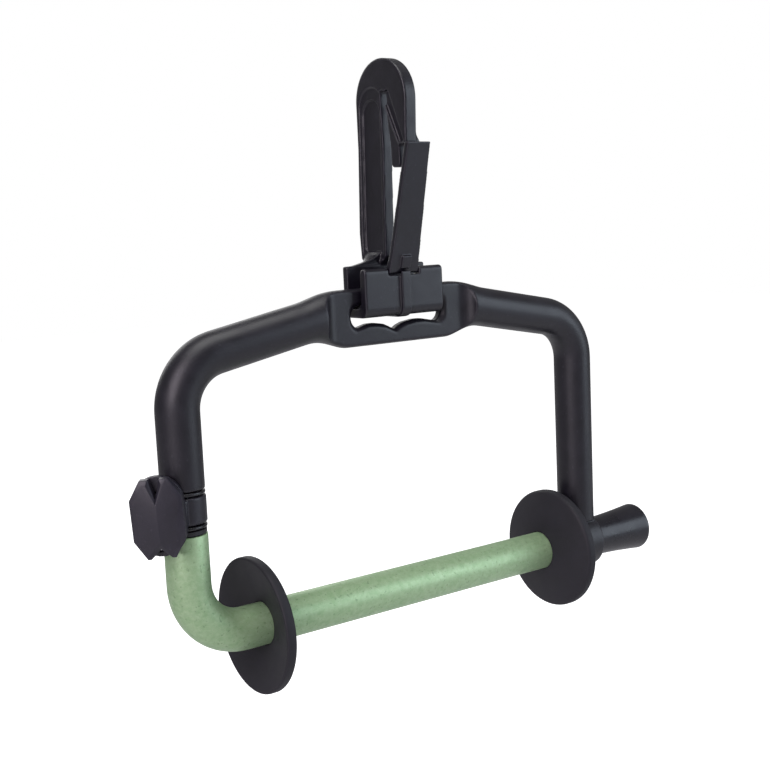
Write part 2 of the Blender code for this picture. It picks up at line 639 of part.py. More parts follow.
def make_gate(material, parent):
    """The springy gate: a tapered tongue on a round root, with the upper end of the rib."""
    pivot_y, pivot_z = GATE_PIVOT
    root = GATE_ROOT_WIDTH / 2
    top = GATE_TOP_WIDTH / 2
    knee = root + (top - root) * GATE_SWELL
    rows = [(pivot_z, pivot_y - GATE_BARREL, pivot_y + GATE_BARREL * 0.8, root),
            (GATE_KNEE, GATE_KNEE_FRONT, GATE_KNEE_FRONT + GATE_DEPTH, knee),
            (GATE_TOP, GATE_TOP_FRONT, GATE_TOP_FRONT + GATE_DEPTH, top)]
    rings = []
    for height, front, back, side in rows:
        corners = [(-side, front), (side, front), (side, back), (-side, back)]
        rings.append([(x, y, height) for x, y in corners])
    gate = loft("hook_gate", rings, material)
    gate.data.shade_flat()
    soften(gate, 0.0003, 2, 40)
    barrel = rod("gate_barrel", GATE_BARREL, -root, root, "X", (0, pivot_y, pivot_z))
    combine(gate, barrel, "UNION")
    start = RIB_SPLIT + RIB_PART
    low = pivot_y - GATE_BARREL
    share = (RIB_TOP - pivot_z) / (GATE_KNEE - pivot_z)
    high = low + (GATE_KNEE_FRONT - low) * share
    outline = [(low + RIB_DEPTH, start), (low - RIB_DEPTH, start)]
    outline += [(high - RIB_DEPTH, RIB_TOP), (high + RIB_DEPTH, RIB_TOP)]
    rib = plate("gate_rib", outline, -RIB_WIDTH / 2, RIB_WIDTH / 2, "X")
    combine(gate, rib, "UNION")
    close_seams(gate)
    set_place(gate, (0, pivot_y, pivot_z), parent)
    return gate


def make_pivot(materials, frame_joint, bar_joint):
    """Insert, bolt, washer, bush and the two rings, all round the left arm's axis."""
    axis = (LEFT_ARM, 0, 0)
    place = (LEFT_ARM, 0, COLLAR_BOTTOM)
    low = LEFT_ARM_END + GAP
    insert = ring("pivot_insert", BORE_RADIUS, INSERT_RADIUS, low, low + INSERT_LENGTH, "Z", axis,
                  materials["brass"])
    set_place(insert, place, frame_joint)

    head_low = HEAD_TOP - BOLT_HEAD_HEIGHT
    end = low + INSERT_LENGTH
    profile = [(0, head_low), (BOLT_HEAD_RADIUS - GAP, head_low), (BOLT_HEAD_RADIUS, head_low + GAP),
               (BOLT_HEAD_RADIUS, HEAD_TOP), (BOLT_RADIUS, HEAD_TOP), (BOLT_RADIUS, end - GAP),
               (BOLT_RADIUS - GAP, end), (0, end)]
    bolt = turned("pivot_bolt", profile, False, "Z", axis, materials["steel"], SMALL_SIDES)
    socket_top = head_low + BOLT_HEAD_HEIGHT / 2
    socket = rod("bolt_socket", BOLT_HEAD_RADIUS / 2, head_low - GAP, socket_top, "Z", axis, None, 6)
    combine(bolt, socket, "DIFFERENCE")
    set_place(bolt, place, frame_joint)

    seals = (("upper_ring", UPPER_RING_TOP, frame_joint), ("lower_ring", LOWER_RING_TOP, bar_joint))
    for name, top, joint in seals:
        seal = ring(name, BORE_RADIUS, ARM_RADIUS, top - RING_THICKNESS, top, "Z", axis,
                    materials["ring_rubber"], GAP / 2, SIDES)
        set_place(seal, place, joint)

    body = TUBE_BORE - GAP
    flange = TUBE_RADIUS - GAP / 2
    under = FLANGE_TOP - BUSH_FLANGE
    profile = [(BORE_RADIUS, BUSH_BOTTOM), (body - GAP, BUSH_BOTTOM), (body, BUSH_BOTTOM + GAP)]
    profile += [(body, under), (flange, under), (flange, FLANGE_TOP), (BORE_RADIUS, FLANGE_TOP)]
    bush = turned("pivot_bush", profile, True, "Z", axis, materials["bush_plastic"], SIDES)
    set_place(bush, place, bar_joint)
    washer = ring("pivot_washer", BORE_RADIUS, WASHER_RADIUS, WASHER_TOP - WASHER_THICKNESS, WASHER_TOP, "Z",
                  axis, materials["steel"])
    set_place(washer, place, bar_joint)


def cover_outline(grow=0.0):
    """Outline (across, up) of the cutter's cover: eight corners and two V notches."""
    wide = COVER_WIDTH / 2 + grow
    tall = COVER_HEIGHT / 2 + grow
    cut_wide = wide - COVER_CORNER_WIDTH
    cut_tall = tall - COVER_CORNER_HEIGHT
    top_half, top_deep = TOP_NOTCH
    low_half, low_deep = BOTTOM_NOTCH
    points = [(-cut_wide, tall), (-top_half - grow, tall), (0, tall - top_deep), (top_half + grow, tall)]
    points += [(cut_wide, tall), (wide, cut_tall), (wide, -cut_tall), (cut_wide, -tall)]
    points += [(low_half + grow, -tall), (0, -tall + low_deep), (-low_half - grow, -tall), (-cut_wide, -tall)]
    points += [(-wide, -cut_tall), (-wide, cut_tall)]
    return points


def make_cutter(materials, joint):
    """Collar with its plate, blade, notched cover and their screw, facing -Y before the turn."""
    middle = COLLAR_LENGTH / 2 + CUTTER_RISE
    tilt = Matrix.Translation((CUTTER_SHIFT, 0, middle)) @ Matrix.Rotation(-CUTTER_LEAN, 4, "Y")
    collar = ring("cutter_collar", BORE_RADIUS, COLLAR_RADIUS, 0, COLLAR_LENGTH, "Z", (0, 0, 0),
                  materials["cutter_plastic"], GAP, SIDES)
    link_high = (BOLT_RADIUS, -BORE_RADIUS - GAP, COLLAR_LENGTH - GAP)
    link = box("cutter_link", (CUTTER_SHIFT, -PLATE_BACK - GAP, GAP), link_high)
    combine(collar, link, "UNION")
    rise = PLATE_HALF_HEIGHT - PLATE_HALF_WIDTH
    outline = arc((0, rise), PLATE_HALF_WIDTH, 0, 180, 16) + arc((0, -rise), PLATE_HALF_WIDTH, 180, 360, 16)
    back = plate("cutter_plate", outline, -PLATE_FRONT, -PLATE_BACK, "Y")
    back.data.transform(tilt)
    combine(collar, back, "UNION")

    blade_top = COVER_HEIGHT / 2 - TOP_NOTCH[1] + BLADE_SHOW
    blade_low = -COVER_HEIGHT / 2 + BOTTOM_NOTCH[1] - BLADE_SHOW
    half = BLADE_WIDTH / 2
    room = BLADE_THICKNESS + GAP
    pocket = box("blade_pocket", (-half - GAP, -PLATE_FRONT - GAP, blade_low - GAP),
                 (half + GAP, -PLATE_FRONT + room, blade_top + GAP))
    pocket.data.transform(tilt)
    combine(collar, pocket, "DIFFERENCE")
    blade = box("cutter_blade", (-half, -PLATE_FRONT, blade_low),
                (half, -PLATE_FRONT + BLADE_THICKNESS, blade_top), materials["blade_steel"])
    blade.data.transform(tilt)

    face_y = -COVER_BACK - COVER_THICKNESS
    cover = plate("cutter_cover", cover_outline(), face_y, -COVER_BACK, "Y", materials["cutter_plastic"])
    weights = cover.data.attributes.new("bevel_weight_edge", "FLOAT", "EDGE")
    for edge in cover.data.edges:
        ends = [cover.data.vertices[i].co for i in edge.vertices]
        at_front = all(abs(end.y - face_y) < GAP / 3 for end in ends)
        weights.data[edge.index].value = 1.0 if at_front else 0.0
    bevel = cover.modifiers.new("facets", "BEVEL")
    bevel.limit_method = "WEIGHT"
    bevel.width = COVER_BEVEL
    bevel.segments = 1
    bevel.use_clamp_overlap = True
    cover.data.transform(tilt)

    out = Vector((-CUTTER_SCREW_OUT, 0, 0))
    spot = tilt @ out
    grip = COVER_BACK + CUTTER_SCREW_GRIP
    centre = (spot.x, 0, spot.z)
    wide = CUTTER_SCREW_RADIUS + GAP
    hole = rod("cover_hole", wide, -grip - GAP, -COVER_BACK + GAP, "Y", centre, None, SCREW_SIDES)
    combine(cover, hole, "DIFFERENCE")
    through = rod("plate_hole", wide, -PLATE_FRONT - GAP, -PLATE_BACK + GAP, "Y", centre, None, SCREW_SIDES)
    combine(collar, through, "DIFFERENCE")
    close_seams(collar)
    close_seams(cover)
    head = -PLATE_BACK + GAP
    top = head + CUTTER_SCREW_DISH
    profile = [(0, -grip), (CUTTER_SCREW_RADIUS, -grip), (CUTTER_SCREW_RADIUS, head)]
    profile += [(CUTTER_SCREW_HEAD, head), (CUTTER_SCREW_HEAD, top - GAP)]
    profile += [(CUTTER_SCREW_HEAD - GAP, top), (0, top)]
    screw = turned("cutter_screw", profile, False, "Y", centre, materials["steel"], SCREW_SIDES)
    for piece in (collar, blade, cover, screw):
        piece.parent = joint
    for guide in (link, back, pocket, hole, through):
        guide.parent = joint


def tube_path():
    """Points and headings of the swing bar's axis, from the pivot down and along to the open end."""
    path = [((LEFT_ARM, TUBE_TOP), pi / 2), ((LEFT_ARM, ELBOW_RADIUS), pi / 2)]
    centre = (LEFT_ARM + ELBOW_RADIUS, ELBOW_RADIUS)
    steps = 10
    for i in range(1, steps + 1):
        turn = pi / 2 * i / steps
        place = (centre[0] - ELBOW_RADIUS * cos(turn), centre[1] - ELBOW_RADIUS * sin(turn))
        path.append((place, pi / 2 - turn))
    path.append(((TUBE_END, 0.0), 0.0))
    return path


def make_swing_bar(material, parent):
    """The bent tube, skinned outside and inside along one path."""
    bm = bmesh.new()
    skins = []
    for radius in (TUBE_RADIUS, TUBE_BORE):
        loops = []
        for (x, z), heading in tube_path():
            loop = []
            for i in range(SIDES):
                angle = 2 * pi * i / SIDES
                across = radius * cos(angle)
                depth = radius * sin(angle)
                loop.append(bm.verts.new((x + across * sin(heading), depth, z + across * cos(heading))))
            loops.append(loop)
        skins.append(loops)
    for loops in skins:
        for here, there in zip(loops, loops[1:]):
            for i in range(SIDES):
                j = (i + 1) % SIDES
                bm.faces.new((here[i], here[j], there[j], there[i]))
    for end in (0, -1):
        outer, inner = skins[0][end], skins[1][end]
        for i in range(SIDES):
            j = (i + 1) % SIDES
            bm.faces.new((outer[i], outer[j], inner[j], inner[i]))
    bar = finish_mesh("swing_bar", bm, material)
    set_place(bar, (LEFT_ARM, 0, COLLAR_BOTTOM), parent)
    return bar


def make_disc(name, low, dish, material, parent):
    """A shallow rubber cone on the bar, its outer edge rounded and its bore plain."""
    high = low + DISC_THICKNESS
    bore = TUBE_RADIUS + GAP
    profile = [(bore, low), (DISC_RADIUS - DISC_EDGE, low)]
    profile += [(DISC_RADIUS - DISC_EDGE * 0.3, low + DISC_EDGE * 0.3), (DISC_RADIUS, low + DISC_EDGE)]
    profile += [(DISC_RADIUS, high - DISC_EDGE), (DISC_RADIUS - DISC_EDGE * 0.3, high - DISC_EDGE * 0.3)]
    profile += [(DISC_RADIUS - DISC_EDGE, high), (bore, high)]
    slope = dish / (DISC_RADIUS - bore)
    profile = [(radius, along + slope * (DISC_RADIUS - radius)) for radius, along in profile]
    disc = turned(name, profile, True, "X", (0, 0, 0), material, SIDES)
    set_place(disc, (low, 0, 0), parent)
    return disc


def make_plug(materials, parent):
    """The flared plug, with a spigot in the tube, a rubber ring on it and a neck in the cradle."""
    spigot = TUBE_BORE - GAP
    start = TUBE_END - PLUG_SPIGOT
    face = TUBE_END + GAP
    neck = RIGHT_ARM + PLUG_NECK_START
    end = RIGHT_ARM + PLUG_END
    groove = spigot - PLUG_RING_DEPTH
    groove_low = TUBE_END - PLUG_SPIGOT / 2
    groove_high = groove_low + PLUG_RING_WIDTH + 2 * GAP
    profile = [(0, start), (spigot - PLUG_EDGE, start), (spigot, start + PLUG_EDGE), (spigot, groove_low),
               (groove, groove_low), (groove, groove_high), (spigot, groove_high), (spigot, face),
               (TUBE_RADIUS, face), (TUBE_RADIUS, neck - GAP), (PLUG_NECK_RADIUS, neck)]
    steps = 8
    for i in range(1, steps + 1):
        along = i / steps
        radius = PLUG_NECK_RADIUS + (PLUG_END_RADIUS - PLUG_NECK_RADIUS) * along ** 1.6
        profile.append((radius, neck + (end - PLUG_EDGE - neck) * along))
    corner = PLUG_EDGE * 0.3
    profile += [(PLUG_END_RADIUS - corner, end - corner), (PLUG_END_RADIUS - PLUG_EDGE, end), (0, end)]
    plug = turned("end_plug", profile, False, "X", (0, 0, 0), materials["plug_plastic"], SIDES)
    set_place(plug, (TUBE_END, 0, 0), parent)
    seal = ring("plug_ring", groove + GAP, TUBE_BORE - GAP / 2, groove_low + GAP, groove_high - GAP, "X",
                (0, 0, 0), materials["ring_rubber"], 0.0, SIDES)
    set_place(seal, (TUBE_END, 0, 0), parent)


def main():
    clear_scene()
    materials = {name: make_material(name) for name in MATERIALS}
    assembly = make_empty("assembly", -ORIGIN)
    frame_joint = make_empty("frame_joint", (0, 0, 0), assembly)
    bar_joint = make_empty("bar_joint", (0, 0, 0), assembly)
    cutter_joint = make_empty("cutter_joint", (LEFT_ARM, 0, COLLAR_BOTTOM), assembly)
    cutter_joint.rotation_euler = (0, 0, CUTTER_TURN)
    make_hook(materials["black_plastic"], assembly)
    make_gate(materials["black_plastic"], assembly)
    make_frame(materials["black_plastic"], frame_joint)
    make_pivot(materials, frame_joint, bar_joint)
    make_cutter(materials, cutter_joint)
    make_swing_bar(materials["green_aluminium"], bar_joint)
    make_disc("left_disc", LEFT_ARM + LEFT_DISC_PLACE, DISC_DISH, materials["disc_rubber"], bar_joint)
    right = RIGHT_ARM - RIGHT_DISC_PLACE
    make_disc("right_disc", right, -DISC_DISH, materials["disc_rubber"], bar_joint)
    make_plug(materials, bar_joint)
    for guide in bpy.data.objects:
        if guide.display_type == "WIRE" and guide.parent is None:
            guide.parent = assembly


main()
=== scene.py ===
"""Line spool dispenser: the visible pieces, their finishes, and a plain pale stage.

Metres. Outlines are given as in the CAD source, with heights above the swing bar's axis and X from
the middle of the hook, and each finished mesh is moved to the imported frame.
"""
from math import cos, pi, radians, sin, tan

import bmesh
import bpy
import numpy as np
from bpy.props import FloatProperty, FloatVectorProperty, IntProperty, PointerProperty
from mathutils import Matrix, Vector


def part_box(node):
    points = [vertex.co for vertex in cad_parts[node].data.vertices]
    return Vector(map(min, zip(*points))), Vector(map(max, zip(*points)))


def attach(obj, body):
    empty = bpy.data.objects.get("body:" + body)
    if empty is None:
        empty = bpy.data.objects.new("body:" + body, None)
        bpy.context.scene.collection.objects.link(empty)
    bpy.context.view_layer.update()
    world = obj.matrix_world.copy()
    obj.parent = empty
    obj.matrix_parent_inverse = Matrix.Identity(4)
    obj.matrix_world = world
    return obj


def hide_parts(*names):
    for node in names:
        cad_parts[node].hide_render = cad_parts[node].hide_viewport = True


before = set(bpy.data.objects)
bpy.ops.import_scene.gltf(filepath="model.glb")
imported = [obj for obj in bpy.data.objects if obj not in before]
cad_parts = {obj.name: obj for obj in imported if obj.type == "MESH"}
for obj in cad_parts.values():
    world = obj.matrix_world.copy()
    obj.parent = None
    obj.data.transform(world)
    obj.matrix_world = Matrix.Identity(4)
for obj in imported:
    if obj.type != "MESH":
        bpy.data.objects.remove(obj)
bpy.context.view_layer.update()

bl_info = {
    "name": "Line Spool Dispenser",
    "version": (1, 0, 0),
    "blender": (4, 5, 0),
    "location": "View3D > Sidebar > Dispenser",
    "description": "Builds a hanging spool dispenser with a swing bar, two rubber discs and a line cutter",
    "category": "Object",
}

GAP = 0.0003
BAR_LOW, BAR_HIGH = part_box("swing_bar")
TUBE_RADIUS = (BAR_HIGH.y - BAR_LOW.y) / 2
MIDDLE = Vector((0.0, (BAR_LOW.y + BAR_HIGH.y) / 2, BAR_LOW.z + TUBE_RADIUS))
LEFT_ARM = BAR_LOW.x + TUBE_RADIUS
HALF_SPAN = 0.0605
RIGHT_ARM = LEFT_ARM + 2 * HALF_SPAN
ARM_RADIUS = 0.0050
CORNER_START = 0.0521
CORNER_RADIUS = 0.0126
ARCH_SLOPE = radians(10.6)
EYE_BLEND_START = 0.0275
EYE_BLEND_END = 0.0150
EYE_HEIGHT = 0.0690
EYE_HALF_HEIGHT = 0.0070
EYE_HALF_DEPTH = 0.0019
FLAT_HALF_LENGTH = 0.0187
FLAT_COVE = 0.0040
LEFT_ARM_END = 0.0351
SLOT_HALF_LENGTH = 0.0138
SLOT_TOP = EYE_HEIGHT + 0.0030
SLOT_BOTTOM = EYE_HEIGHT - 0.0026
SLOT_HUMP = 0.0010
SLOT_NOTCH = 0.0009
SLOT_CHAMFER = 0.0009
SLOT_CORNER = 0.0014
SLOT_FLOOR = ((0.73, 0.5), (0.55, 1.0), (0.36, 1.0), (0.16, 0.6), (0.04, 0.0), (-0.07, -1.0),
              (-0.20, 0.0), (-0.30, 0.6), (-0.48, 1.0), (-0.64, 1.0), (-0.78, 0.5))
CRADLE_BORE = TUBE_RADIUS + GAP
CRADLE_WALL = 0.0020
CRADLE_WIDTH = 0.0084
CRADLE_EDGE = 0.0006
CRADLE_LIP = 0.0035
INSERT_HOLE = 0.0029
INSERT_DEPTH = 0.0086
HEAD_RADIUS = 0.01005
HEAD_CENTRE = (0.0, EYE_HEIGHT + 0.05145)
THROAT_RADIUS = 0.00085
THROAT_CENTRE = (-0.0006, EYE_HEIGHT + 0.0530)
NOSE_DEPTH = 0.0035
TONGUE_END = EYE_HEIGHT + 0.0354
TONGUE_DEPTH = 0.0032
TONGUE_EDGE = 0.0006
SHOULDER = EYE_HEIGHT + 0.0407
SHANK_BACK_TOP = 0.0100
SHANK_BACK_FOOT = 0.0111
SHANK_FOOT = EYE_HEIGHT + 0.0200
SHANK_FRONT = -0.0002
SHANK_FRONT_FOOT = 0.0007
SHANK_NECK = 0.0066
SHANK_EASE = 0.0005
NOSE_EDGE = 0.0005
STEP_DEPTH = 0.0004
STEP_TOP = HEAD_CENTRE[1] + 0.0036
STEP_FRONT = -0.0010
PANEL_TOP = HEAD_CENTRE[1] + 0.0007
PANEL_RIM = 0.0020
PANEL_FRONT_RIM = 0.0010
STRIP_WIDTH = 0.0022
LUG_HEIGHT = 0.0034
LUG_OUT = 0.0012
FOOT_SINK = 0.0001               # of the foot's underside, below the eye's middle
FOOT_BOTTOM = EYE_HEIGHT - FOOT_SINK
FOOT_WALL = 0.0023
FOOT_FLAT = 0.0006               # half of the flat in the middle of the U's floor
FOOT_FRONT = -0.0048
FOOT_FRONT_RADIUS = 0.0022
FOOT_SLOT_FRONT = -0.00255
FOOT_SLOT_BACK = 0.00255
FOOT_BACK = 0.0045
FOOT_BACK_RADIUS = 0.0026
FRONT_LEG_TOP = EYE_HEIGHT + 0.0116
BACK_LEG_TOP = EYE_HEIGHT + 0.0123
FLARE_HEIGHT = 0.0034
FLARE_INSET = 0.0008
LEG_OVERLAP = 0.0020
RIB_WIDTH = 0.0027
RIB_DEPTH = 0.0008
RIB_ROOT = 0.0010                # how far the rib is sunk in its leg
RIB_PART = 0.0007                # between the foot's rib and the gate's
GATE_PIVOT = (-0.0038, EYE_HEIGHT + 0.0110)
GATE_BARREL = 0.00095
RIB_SPLIT = GATE_PIVOT[1] - 0.0004
GATE_TOP = EYE_HEIGHT + 0.0409
GATE_TOP_FRONT = -0.01275
GATE_KNEE = EYE_HEIGHT + 0.0154
GATE_KNEE_FRONT = -0.0061
GATE_DEPTH = 0.0015
GATE_SWELL = 0.3                 # where its width at the knee lies between root and top
RIB_DROP = 0.0011                # of the gate's rib, below the knee
GATE_ROOT_WIDTH = 0.0087
GATE_TOP_WIDTH = 0.0067
CUTTER_TURN = radians(-34)
CUTTER_SHIFT = -0.0044
CUTTER_LEAN = radians(3.0)
CUTTER_RISE = 0.0001
PLATE_HALF_WIDTH = 0.0056
PLATE_HALF_HEIGHT = 0.0089
PLATE_BACK = ARM_RADIUS + GAP
PLATE_FRONT = PLATE_BACK + 0.0018
COVER_BACK = PLATE_FRONT + GAP
COVER_WIDTH = 0.0113
COVER_HEIGHT = 0.0174
COVER_THICKNESS = 0.0033
COVER_CORNER_WIDTH = 0.0026
COVER_CORNER_HEIGHT = 0.0042
TOP_NOTCH = (0.0012, 0.0044)
BOTTOM_NOTCH = (0.0023, 0.0021)
COVER_EDGE = 0.00016
COVER_ROOF = 0.16                # slope of the face to each side of its ridge
COVER_FALL = 0.10                # and towards its top and bottom
COVER_FALL_START = 0.0008        # from the height of its side corners
COLLAR_LENGTH = 0.0062
COLLAR_RADIUS = 0.0051
COLLAR_EDGE = 0.0004
BOLT_HOLE = 0.0018
LINK_INSIDE = 0.0021             # where the link ends inside the collar
LINK_RIGHT = 0.0015
BLADE_HALF_WIDTH = 0.0021
BLADE_SHOW = 0.0008              # how far the blade's edges stand into the notches
BLADE_POCKET = 0.0007
SCREW_ACROSS = -0.0040
SCREW_HOLE = 0.0011
SCREW_IN_COVER = 0.0023
SPIGOT_RADIUS = 0.0037
GROOVE_DEPTH = 0.0007
GROOVE_WIDTH = 0.0018
GROOVE_INSIDE = 0.0060           # from the tube's end
PLUG_CORNER = 0.0007
PLUG_NECK_RADIUS = 0.00535
PLUG_END_RADIUS = 0.0065
PLUG_FLARE = 1.6                 # power of the plug's flare
NECK_PAST_ARM = 0.0052
DISC_THICKNESS = 0.0027
DISC_DISH = 0.0032
DISC_PLAY = 0.00012              # between a disc's bore and the bar
ROUND = 96                       # sides of a smooth round piece
CAMERA_LENS = 56.90              # millimetres, on a sensor 36 wide
CAMERA_DISTANCE = 0.30017
WEAR_HIGHLIGHT_SHARE = 0.55              # how far rubbed edges take the worn colour, a mix of wear and painted highlight
SPECK_SHARE = 0.16               # and how far dust specks take it


def length_property(name, description, default, low, high):
    return FloatProperty(name=name, description=description, default=default, min=low, max=high,
                         unit="LENGTH")


class DispenserSizes(bpy.types.PropertyGroup):
    """Sizes that a user would change."""
    hook_thickness: length_property("Hook Thickness", "Width of its head and shank", 0.0035, 0.003, 0.008)
    foot_half_width: length_property("Foot Half Width", "Half of the foot's width", 0.01185, 0.008, 0.013)
    pocket_depth: length_property("Pocket Depth", "Depth of the shank's sunk panels", 0.0009, 0.0, 0.0015)
    rim: length_property("Rim", "Width of the rim round the sunk panels", 0.0012, 0.0006, 0.002)
    tube_wall: length_property("Tube Wall", "Wall of the green swing bar", 0.0010, 0.0005, 0.002)
    elbow_radius: length_property("Elbow Radius", "Bend of the swing bar's axis", 0.0131, 0.008, 0.02)
    disc_edge: length_property("Disc Edge", "Rounding of the discs' outer edges", 0.0007, 0.0002, 0.0013)
    seal_edge: length_property("Seal Edge", "Rounding of the pivot's rubber rings", 0.00034, 0.0001, 0.0004)
    cover_bevel: length_property("Cover Bevel", "Slope along the cover's edge", 0.0011, 0.0005, 0.002)
    grain: length_property("Skin Fineness", "Steps in which a moulded skin is made", 0.00026, 0.0002, 0.0006)
    soften: IntProperty(name="Skin Softening", description="Smoothing passes over a moulded skin",
                        default=3, min=0, max=10)


def colour_property(name, description, default):
    return FloatVectorProperty(name=name, description=description, subtype="COLOR", size=3, min=0.0, max=1.0,
                               default=default)


class DispenserColours(bpy.types.PropertyGroup):
    """Colours that a user would change."""
    black: colour_property("Black Plastic", "Arch, hook and gate", (0.0050, 0.0043, 0.0080))
    # Colour of rubbed edges, partly wear and partly a painted highlight; dust specks take it too.
    black_wear_highlight: colour_property("Worn Black", "Rubbed edges of the black plastic", (0.060, 0.056, 0.078))
    cutter: colour_property("Cutter Plastic", "Cover and collar of the line cutter", (0.0080, 0.0068, 0.0130))
    rubber: colour_property("Rubber", "Spool discs", (0.0095, 0.0090, 0.0125))
    seal: colour_property("Seal Rubber", "Rings of the pivot and the plug", (0.006, 0.006, 0.008))
    green: colour_property("Green Anodising", "Swing bar", (0.260, 0.410, 0.215))
    green_pale: colour_property("Pale Green", "Lighter mottling of the swing bar", (0.350, 0.490, 0.290))
    steel: colour_property("Zinc Plating", "Bolt, washer and screw", (0.50, 0.51, 0.52))
    brass: colour_property("Brass", "Threaded insert", (0.55, 0.42, 0.18))
    backdrop: colour_property("Backdrop", "Floor and backdrop of the stage", (0.70, 0.70, 0.71))


# Shader groups

def add_sockets(tree, outs, ins):
    for name, kind in outs:
        tree.interface.new_socket(name, in_out="OUTPUT", socket_type="NodeSocket" + kind)
    for name, kind, value in ins:
        socket = tree.interface.new_socket(name, in_out="INPUT", socket_type="NodeSocket" + kind)
        if value is not None:
            socket.default_value = value


def new_group(name, outs, ins):
    """An empty shader group with its sockets, and its input and output nodes."""
    tree = bpy.data.node_groups.new(name, "ShaderNodeTree")
    add_sockets(tree, outs, ins)
    return tree, tree.nodes.new("NodeGroupInput"), tree.nodes.new("NodeGroupOutput")


def add_node(tree, kind, links=(), **values):
    """Add a node, set its attributes and unlinked sockets, and link the rest."""
    node = tree.nodes.new(kind)
    for name, value in values.items():
        if name.startswith("in_"):
            key = name[3:]
            node.inputs[int(key) if key.isdigit() else key.replace("_", " ")].default_value = value
        else:
            setattr(node, name, value)
    for key, source in links:
        tree.links.new(source, node.inputs[key])
    return node


def noise_node(tree, vector, scale, detail=3.0, rough=0.5, stretch=0.0):
    node = add_node(tree, "ShaderNodeTexNoise", [("Vector", vector)], in_Detail=detail, in_Roughness=rough,
                    in_Distortion=stretch)
    if isinstance(scale, (int, float)):
        node.inputs["Scale"].default_value = scale
    else:
        tree.links.new(scale, node.inputs["Scale"])
    return node.outputs["Fac"]


def range_node(tree, value, low, high, out_low=0.0, out_high=1.0):
    node = add_node(tree, "ShaderNodeMapRange", [("Value", value)])
    node.inputs["From Min"].default_value = low
    node.inputs["From Max"].default_value = high
    node.inputs["To Min"].default_value = out_low
    node.inputs["To Max"].default_value = out_high
    return node.outputs["Result"]


def maths(tree, kind, first, second):
    node = tree.nodes.new("ShaderNodeMath")
    node.operation = kind
    for slot, item in enumerate((first, second)):
        if isinstance(item, (int, float)):
            node.inputs[slot].default_value = item
        else:
            tree.links.new(item, node.inputs[slot])
    return node.outputs["Value"]


def mix_colour(tree, share, first, second):
    node = tree.nodes.new("ShaderNodeMix")
    node.data_type = "RGBA"
    for slot, item in ((0, share), (6, first), (7, second)):
        if isinstance(item, (int, float, tuple)):
            node.inputs[slot].default_value = item
        else:
            tree.links.new(item, node.inputs[slot])
    return node.outputs[2]


def make_skin_group():
    """Fine grain, slow mottling and dust specks of a moulded or sprayed skin."""
    outs = [("Height", "Float"), ("Mottle", "Float"), ("Specks", "Float")]
    ins = [("Vector", "Vector", None), ("Grain", "Float", 2600.0), ("Patches", "Float", 220.0),
           ("Specks", "Float", 0.70)]
    tree, start, end = new_group("skin", outs, ins)
    vector = start.outputs["Vector"]
    grain = noise_node(tree, vector, start.outputs["Grain"], 4.0, 0.65)
    patches = noise_node(tree, vector, start.outputs["Patches"], 4.0, 0.55, 0.4)
    dust = noise_node(tree, vector, maths(tree, "MULTIPLY", start.outputs["Grain"], 0.42), 1.0, 0.4)
    limit = start.outputs["Specks"]
    dust = maths(tree, "SUBTRACT", dust, limit)
    dust = range_node(tree, dust, 0.0, 0.06)
    tree.links.new(grain, end.inputs["Height"])
    tree.links.new(range_node(tree, patches, 0.30, 0.70), end.inputs["Mottle"])
    tree.links.new(dust, end.inputs["Specks"])
    return tree


def make_wear_group():
    """Where a piece stands out it is rubbed and carries a painted highlight, and where it turns inwards it
    keeps dust.
    """
    outs = [("Rubbed", "Float"), ("Sheltered", "Float")]
    ins = [("Bend", "Float", 0.0), ("Vector", "Vector", None), ("Start", "Float", 0.05),
           ("Full", "Float", 0.30)]
    tree, start, end = new_group("wear", outs, ins)
    broken = noise_node(tree, start.outputs["Vector"], 900.0, 5.0, 0.6)
    broken = range_node(tree, broken, 0.30, 0.65, 0.25, 1.0)
    node = add_node(tree, "ShaderNodeMapRange", [("Value", start.outputs["Bend"]),
                                                 ("From Min", start.outputs["Start"]),
                                                 ("From Max", start.outputs["Full"])])
    # Mask of the outstanding edges: partly rubbed wear, partly a painted highlight along every edge.
    wear_and_highlight = maths(tree, "MULTIPLY", node.outputs["Result"], broken)
    inward = maths(tree, "MULTIPLY", start.outputs["Bend"], -1.0)
    sheltered = range_node(tree, inward, 0.06, 0.40)
    tree.links.new(wear_and_highlight, end.inputs["Rubbed"])
    tree.links.new(sheltered, end.inputs["Sheltered"])
    return tree


def make_scratch_group():
    """Fine scratches that run mostly round or along a handled metal or plastic surface."""
    outs = [("Scratches", "Float")]
    ins = [("Vector", "Vector", None), ("Stretch", "Vector", (1.0, 1.0, 12.0)), ("Scale", "Float", 500.0)]
    tree, start, end = new_group("scratches", outs, ins)
    factors = [(0, start.outputs["Vector"]), (1, start.outputs["Stretch"])]
    stretched = add_node(tree, "ShaderNodeVectorMath", factors, operation="MULTIPLY")
    lines = noise_node(tree, stretched.outputs["Vector"], start.outputs["Scale"], 6.0, 0.75, 0.3)
    away = maths(tree, "ABSOLUTE", maths(tree, "SUBTRACT", lines, 0.5), 0.0)
    thin = range_node(tree, away, 0.0, 0.03, 1.0, 0.0)
    tree.links.new(thin, end.inputs["Scratches"])
    return tree


def rgba(colour):
    return (*colour, 1.0)


def scaled(colour, factor):
    return tuple(part * factor for part in colour)


def use_group(tree, group, vector):
    node = add_node(tree, "ShaderNodeGroup", node_tree=group)
    tree.links.new(vector, node.inputs["Vector"])
    return node


